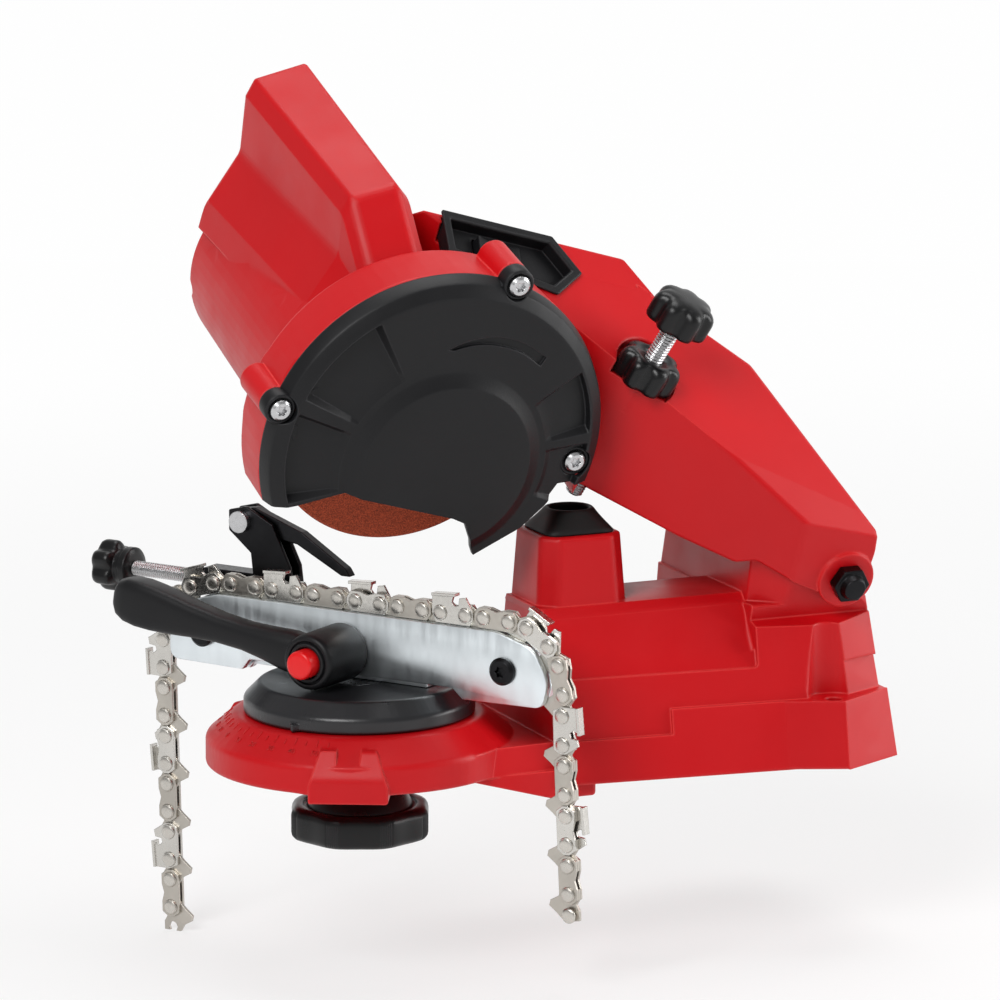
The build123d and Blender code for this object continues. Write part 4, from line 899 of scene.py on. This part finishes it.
def make_ears():
    """Bosses of the guard's screws, each with a flared web to either side."""
    b = Build()
    for x, v in EARS:
        dx, dv = GUARD[0] - x, GUARD[1] - v
        far = math.hypot(dx, dv)
        ux, uv = dx / far, dv / far
        b.turned(EAR_PROFILE, lambda p, q, k: (x + p, v + q, k), 36)
        for side in (1, -1):
            foot, head = [], []
            for i in range(WEB_STEPS + 1):
                t = i / WEB_STEPS
                out = 6.1 + 6.5 * t ** 2.2
                way = 2.0 + 10.0 * t
                for points, off in ((foot, out), (head, WEB_HEAD)):
                    points.append((x + ux * way - side * uv * off, v + uv * way + side * ux * off))
            ring = foot + list(reversed(head))
            b.loops([[(p, q, k) for p, q in ring] for k in (GUARD_BACK, WEB_TOP)])
    ears = add_piece("guard_ears", b.verts, b.faces, "arm", "black", ARM,
                     smooth=True)
    face_out(ears.data)
    carve(ears, [cutter(GUARD_CUT, -30, 40)])
    ears.data.set_sharp_from_angle(angle=math.radians(30.0))


# ------------------------------------------------------------------------ boot
BOOT = (SWIVEL_X + 81.2, -12.2, 91.3)
BOOT_SIDES = 64
# half width, height over the post, exponent of the outline
BOOT_ROWS = [(14.1, 0.0, 6.0), (14.25, 0.8, 5.5), (13.4, 2.0, 4.6), (11.4, 4.6, 3.6),
             (9.9, 6.8, 2.9), (9.3, 7.9, 2.5), (8.9, 8.45, 2.2), (8.2, 8.5, 2.0), (7.7, 8.2, 2.0),
             (7.6, 7.4, 2.0), (9.4, 4.0, 2.4), (11.0, 0.5, 3.0)]


def make_boot():
    """Rubber boot on the post: a skirt that rises to a rolled lip."""
    b = Build()
    loops = []
    for half, z, square in BOOT_ROWS:
        ring = squircle(half, half, square, BOOT_SIDES)
        loops.append([(BOOT[0] + x, BOOT[1] + y, BOOT[2] + z) for x, y in ring])
    b.loops(loops + [loops[0]], cap_start=False, cap_end=False)
    boot = add_piece("spring_boot_rubber", b.verts, b.faces, "base", "rubber",
                     Matrix.Scale(MM, 4), smooth=True)
    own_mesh(boot)
    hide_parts("spring_boot")


# ------------------------------------------------------------------- saw chain
# domed rivet heads over the plain ones; the way runs through the rivets' centres
PITCH_DRIVE = 8.05
PITCH_SIDE = 11.0
CHAIN_Z = 63.5 + 7.8 / 2 + 0.2
CHAIN_WAY = [(-86.7, -72.0), (-89.4, 30.0), (-89.4, 43.5), (-88.0, 52.0), (-83.0, 60.0),
             (-74.5, 65.8), (-62.0, CHAIN_Z), (66.0, CHAIN_Z), (78.4, 65.3), (86.5, 58.3),
             (90.6, 50.0), (91.4, 41.0), (91.0, 32.0), (94.6, -48.0)]
LINK_COUNT = 43
LEFT_HINGE = 12
RIGHT_HINGE = 36
STRAP_FACE = 0.75 + 1.15            # half the drive link and one strap
RIVET_PROFILE = [(3.02, 0.0), (3.02, 0.25), (2.75, 0.62), (2.0, 0.86), (1.0, 0.93), (0.25, 0.95)]


def walk(way, steps):
    """Rivet centres along the way, each a link's length from the last."""
    points = [way[0]]
    leg = 0
    for step in steps:
        x, y = points[-1]
        while leg < len(way) - 1:
            (ax, ay), (bx, by) = way[leg], way[leg + 1]
            length = math.hypot(bx - ax, by - ay)
            ux, uy = (bx - ax) / length, (by - ay) / length
            along = (x - ax) * ux + (y - ay) * uy
            off = (x - ax) * uy - (y - ay) * ux
            if abs(off) < step:
                t = along + math.sqrt(step ** 2 - off ** 2)
                if t <= length:
                    points.append((ax + ux * t, ay + uy * t))
                    break
            leg += 1
    return points


def make_rivet_heads():
    """Rivet heads in three pieces: the held run and the two tails."""
    steps = [PITCH_DRIVE if i % 2 == 0 else PITCH_SIDE for i in range(LINK_COUNT)]
    groups = {"tail_left": Build(), "table": Build(), "tail_right": Build()}
    for i, (s, z) in enumerate(walk(CHAIN_WAY, steps)):
        if i == 0:
            continue
        link = i if i % 2 else i - 1
        body = "table"
        if link < LEFT_HINGE:
            body = "tail_left"
        elif link >= RIGHT_HINGE:
            body = "tail_right"
        for side in (1, -1):
            groups[body].turned(RIVET_PROFILE, lambda x, y, h: (s + x, z + side * y,
                                                                side * (STRAP_FACE + h)), 16)
    for body, b in groups.items():
        add_piece("rivet_heads_" + body, b.verts, b.faces, body, "rivet", VISE,
                  smooth=True)


# ----------------------------------------- swivel scale on the cone of the table
CONE_R0, CONE_Z0 = 58.5, 16.3
CONE_R1, CONE_Z1 = 47.5, 25.3
TICK_R, NUMERAL_R = 51.2, 53.6
TICK_HALF, TICK_LONG, TICK_SHORT = 0.16, 3.4, 2.2
TICK_LOW, TICK_HIGH = -0.2, 0.22
NUMERAL_SIZE, NUMERAL_DEPTH = 3.1, 0.2
CONE_SLOPE = math.atan2(CONE_Z1 - CONE_Z0, CONE_R0 - CONE_R1)


def cone_matrix(angle, radius):
    """Frame on the cone: x along the rim, y up the slope, z out of the face."""
    c, s = math.cos(angle), math.sin(angle)
    x = Vector((-s, c, 0))
    y = Vector((-c * math.cos(CONE_SLOPE), -s * math.cos(CONE_SLOPE), math.sin(CONE_SLOPE)))
    z = x.cross(y)
    height = CONE_Z0 + (CONE_R0 - radius) * math.tan(CONE_SLOPE)
    return basis((radius * c, radius * s, height), x, y, z)


def text_mesh(body, size, depth):
    """Raised numerals as a mesh, centred on the origin."""
    curve = bpy.data.curves.new("numeral", "FONT")
    curve.body = body
    curve.size = size
    curve.extrude = depth
    curve.resolution_u = 2
    curve.align_x = "CENTER"
    curve.align_y = "CENTER"
    holder = bpy.data.objects.new("numeral", curve)
    bpy.context.scene.collection.objects.link(holder)
    bpy.context.view_layer.update()
    graph = bpy.context.evaluated_depsgraph_get()
    mesh = bpy.data.meshes.new_from_object(holder.evaluated_get(graph))
    bpy.data.objects.remove(holder)
    bpy.data.curves.remove(curve)
    return mesh


def make_scale():
    """Ticks every five degrees and numerals, on both sides of the middle mark."""
    b = Build()
    for value in range(-55, 56, 5):
        angle = math.pi + math.radians(value)
        reach = TICK_LONG if value % 10 == 0 else TICK_SHORT
        m = cone_matrix(angle, TICK_R)
        corners = [(-TICK_HALF, 0.0), (TICK_HALF, 0.0), (TICK_HALF, reach), (-TICK_HALF, reach)]
        b.loops([[tuple(m @ Vector((x, y, z))) for x, y in corners]
                 for z in (TICK_LOW, TICK_HIGH)])
    add_piece("scale_ticks", b.verts, b.faces, "base", "red", TABLE)
    for value in range(-50, 51, 10):
        mesh = text_mesh(str(abs(value)), NUMERAL_SIZE, NUMERAL_DEPTH)
        mesh.transform(TABLE @ cone_matrix(math.pi + math.radians(value), NUMERAL_R))
        name = "scale_numeral_%s%d" % ("left_" if value < 0 else "right_", abs(value))
        mesh.name = name
        obj = bpy.data.objects.new(name, mesh)
        bpy.context.scene.collection.objects.link(obj)
        obj.data.materials.clear()
        obj.data.materials.append(M["red"])
        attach(obj, "base")


make_depth_thread()
make_feed_thread()
make_rivet_heads()
make_scale()
make_depth_grips()
make_table_grip()
make_stop_grip()
make_lever()
make_button()
make_front_jaw()
make_boot()
make_guard()
make_ears()


# ---------------------------------------------------------------- stage, light
PAPER = 0.90
# share of the paper that is plain white to the eye, near the part and far from it
NEAR, FAR = 0.25, 1.3
NEAR_WHITE, FAR_WHITE = 0.66, 0.985
FLOOR_Z = -0.0735
FLOOR_TURN = math.radians(-23)
# way and height over the floor of the paper's rows; it curves up behind the part
FLOOR_ROWS = [(-3.0, 0.0), (1.6, 0.0), (2.6, 0.35), (3.3, 1.2), (3.6, 3.0)]
FLOOR_HALF = 4.0
WORLD, WORLD_SHINE = 0.15, 0.38     # light on surfaces, and what glossy ones reflect
LIT = (-0.12, 0.0, 0.1)
# name, place, width, height, watts
LAMPS = [("key", (-1.5, -1.2, 1.5), 1.0, 1.0, 33.0),
         ("side", (1.55, -0.60, 0.55), 0.9, 1.1, 19.0),
         ("top", (0.1, 0.3, 1.9), 1.2, 1.2, 17.0)]


def paper():
    """White paper that still takes the object's shadow; white also in reflections."""
    mat = bpy.data.materials.new("paper")
    mat.use_nodes = True
    tree = mat.node_tree
    bsdf = tree.nodes["Principled BSDF"]
    bsdf.inputs["Base Color"].default_value = (PAPER, PAPER, PAPER, 1)
    bsdf.inputs["Roughness"].default_value = 0.9
    bsdf.inputs["Specular IOR Level"].default_value = 0.1
    white = tree.nodes.new("ShaderNodeEmission")
    white.inputs["Color"].default_value = (1, 1, 1, 1)
    white.inputs["Strength"].default_value = 1.0
    rays = tree.nodes.new("ShaderNodeLightPath")
    seen = rays.outputs["Is Camera Ray"]
    for kind in ("Is Glossy Ray", "Is Transmission Ray"):
        both = tree.nodes.new("ShaderNodeMath")
        both.operation = "MAXIMUM"
        tree.links.new(seen, both.inputs[0])
        tree.links.new(rays.outputs[kind], both.inputs[1])
        seen = both.outputs[0]
    where = tree.nodes.new("ShaderNodeTexCoord")
    far = tree.nodes.new("ShaderNodeVectorMath")
    far.operation = "LENGTH"
    tree.links.new(where.outputs["Object"], far.inputs[0])
    grade = tree.nodes.new("ShaderNodeMapRange")
    grade.interpolation_type = "SMOOTHSTEP"
    grade.inputs["From Min"].default_value = NEAR
    grade.inputs["From Max"].default_value = FAR
    grade.inputs["To Min"].default_value = NEAR_WHITE
    grade.inputs["To Max"].default_value = FAR_WHITE
    tree.links.new(far.outputs["Value"], grade.inputs["Value"])
    share = tree.nodes.new("ShaderNodeMath")
    share.operation = "MULTIPLY"
    tree.links.new(grade.outputs["Result"], share.inputs[1])
    tree.links.new(seen, share.inputs[0])
    mix = tree.nodes.new("ShaderNodeMixShader")
    tree.links.new(share.outputs[0], mix.inputs[0])
    tree.links.new(bsdf.outputs[0], mix.inputs[1])
    tree.links.new(white.outputs[0], mix.inputs[2])
    tree.links.new(mix.outputs[0], tree.nodes["Material Output"].inputs["Surface"])
    return mat


def make_stage():
    mesh = bpy.data.meshes.new("floor")
    bm = bmesh.new()
    rows = [[bm.verts.new((x, y, FLOOR_Z + z)) for x in (-FLOOR_HALF, FLOOR_HALF)]
            for y, z in FLOOR_ROWS]
    for a, b in zip(rows, rows[1:]):
        bm.faces.new((a[0], a[1], b[1], b[0]))
    bm.to_mesh(mesh)
    bm.free()
    floor = bpy.data.objects.new("floor", mesh)
    bpy.context.scene.collection.objects.link(floor)
    floor.data.materials.append(paper())
    floor.rotation_euler = (0, 0, FLOOR_TURN)


def area_light(name, place, width, height, watts):
    data = bpy.data.lights.new(name, "AREA")
    data.energy = watts
    data.shape = "RECTANGLE"
    data.size = width
    data.size_y = height
    lamp = bpy.data.objects.new(name, data)
    bpy.context.scene.collection.objects.link(lamp)
    lamp.location = place
    lamp.rotation_mode = "QUATERNION"
    lamp.rotation_quaternion = (Vector(LIT) - Vector(place)).to_track_quat("-Z", "Y")


def make_light():
    """White world, stronger in reflections, and three lamps."""
    world = bpy.data.worlds.new("studio")
    bpy.context.scene.world = world
    world.use_nodes = True
    tree = world.node_tree
    back = tree.nodes["Background"]
    shine = tree.nodes.new("ShaderNodeBackground")
    for node, strength in ((back, WORLD), (shine, WORLD_SHINE)):
        node.inputs["Color"].default_value = (1, 1, 1, 1)
        node.inputs["Strength"].default_value = strength
    rays = tree.nodes.new("ShaderNodeLightPath")
    mix = tree.nodes.new("ShaderNodeMixShader")
    tree.links.new(rays.outputs["Is Glossy Ray"], mix.inputs[0])
    tree.links.new(back.outputs[0], mix.inputs[1])
    tree.links.new(shine.outputs[0], mix.inputs[2])
    tree.links.new(mix.outputs[0], tree.nodes["World Output"].inputs["Surface"])
    for lamp in LAMPS:
        area_light(*lamp)


make_stage()
make_light()
bpy.context.scene.view_settings.view_transform = "Standard"
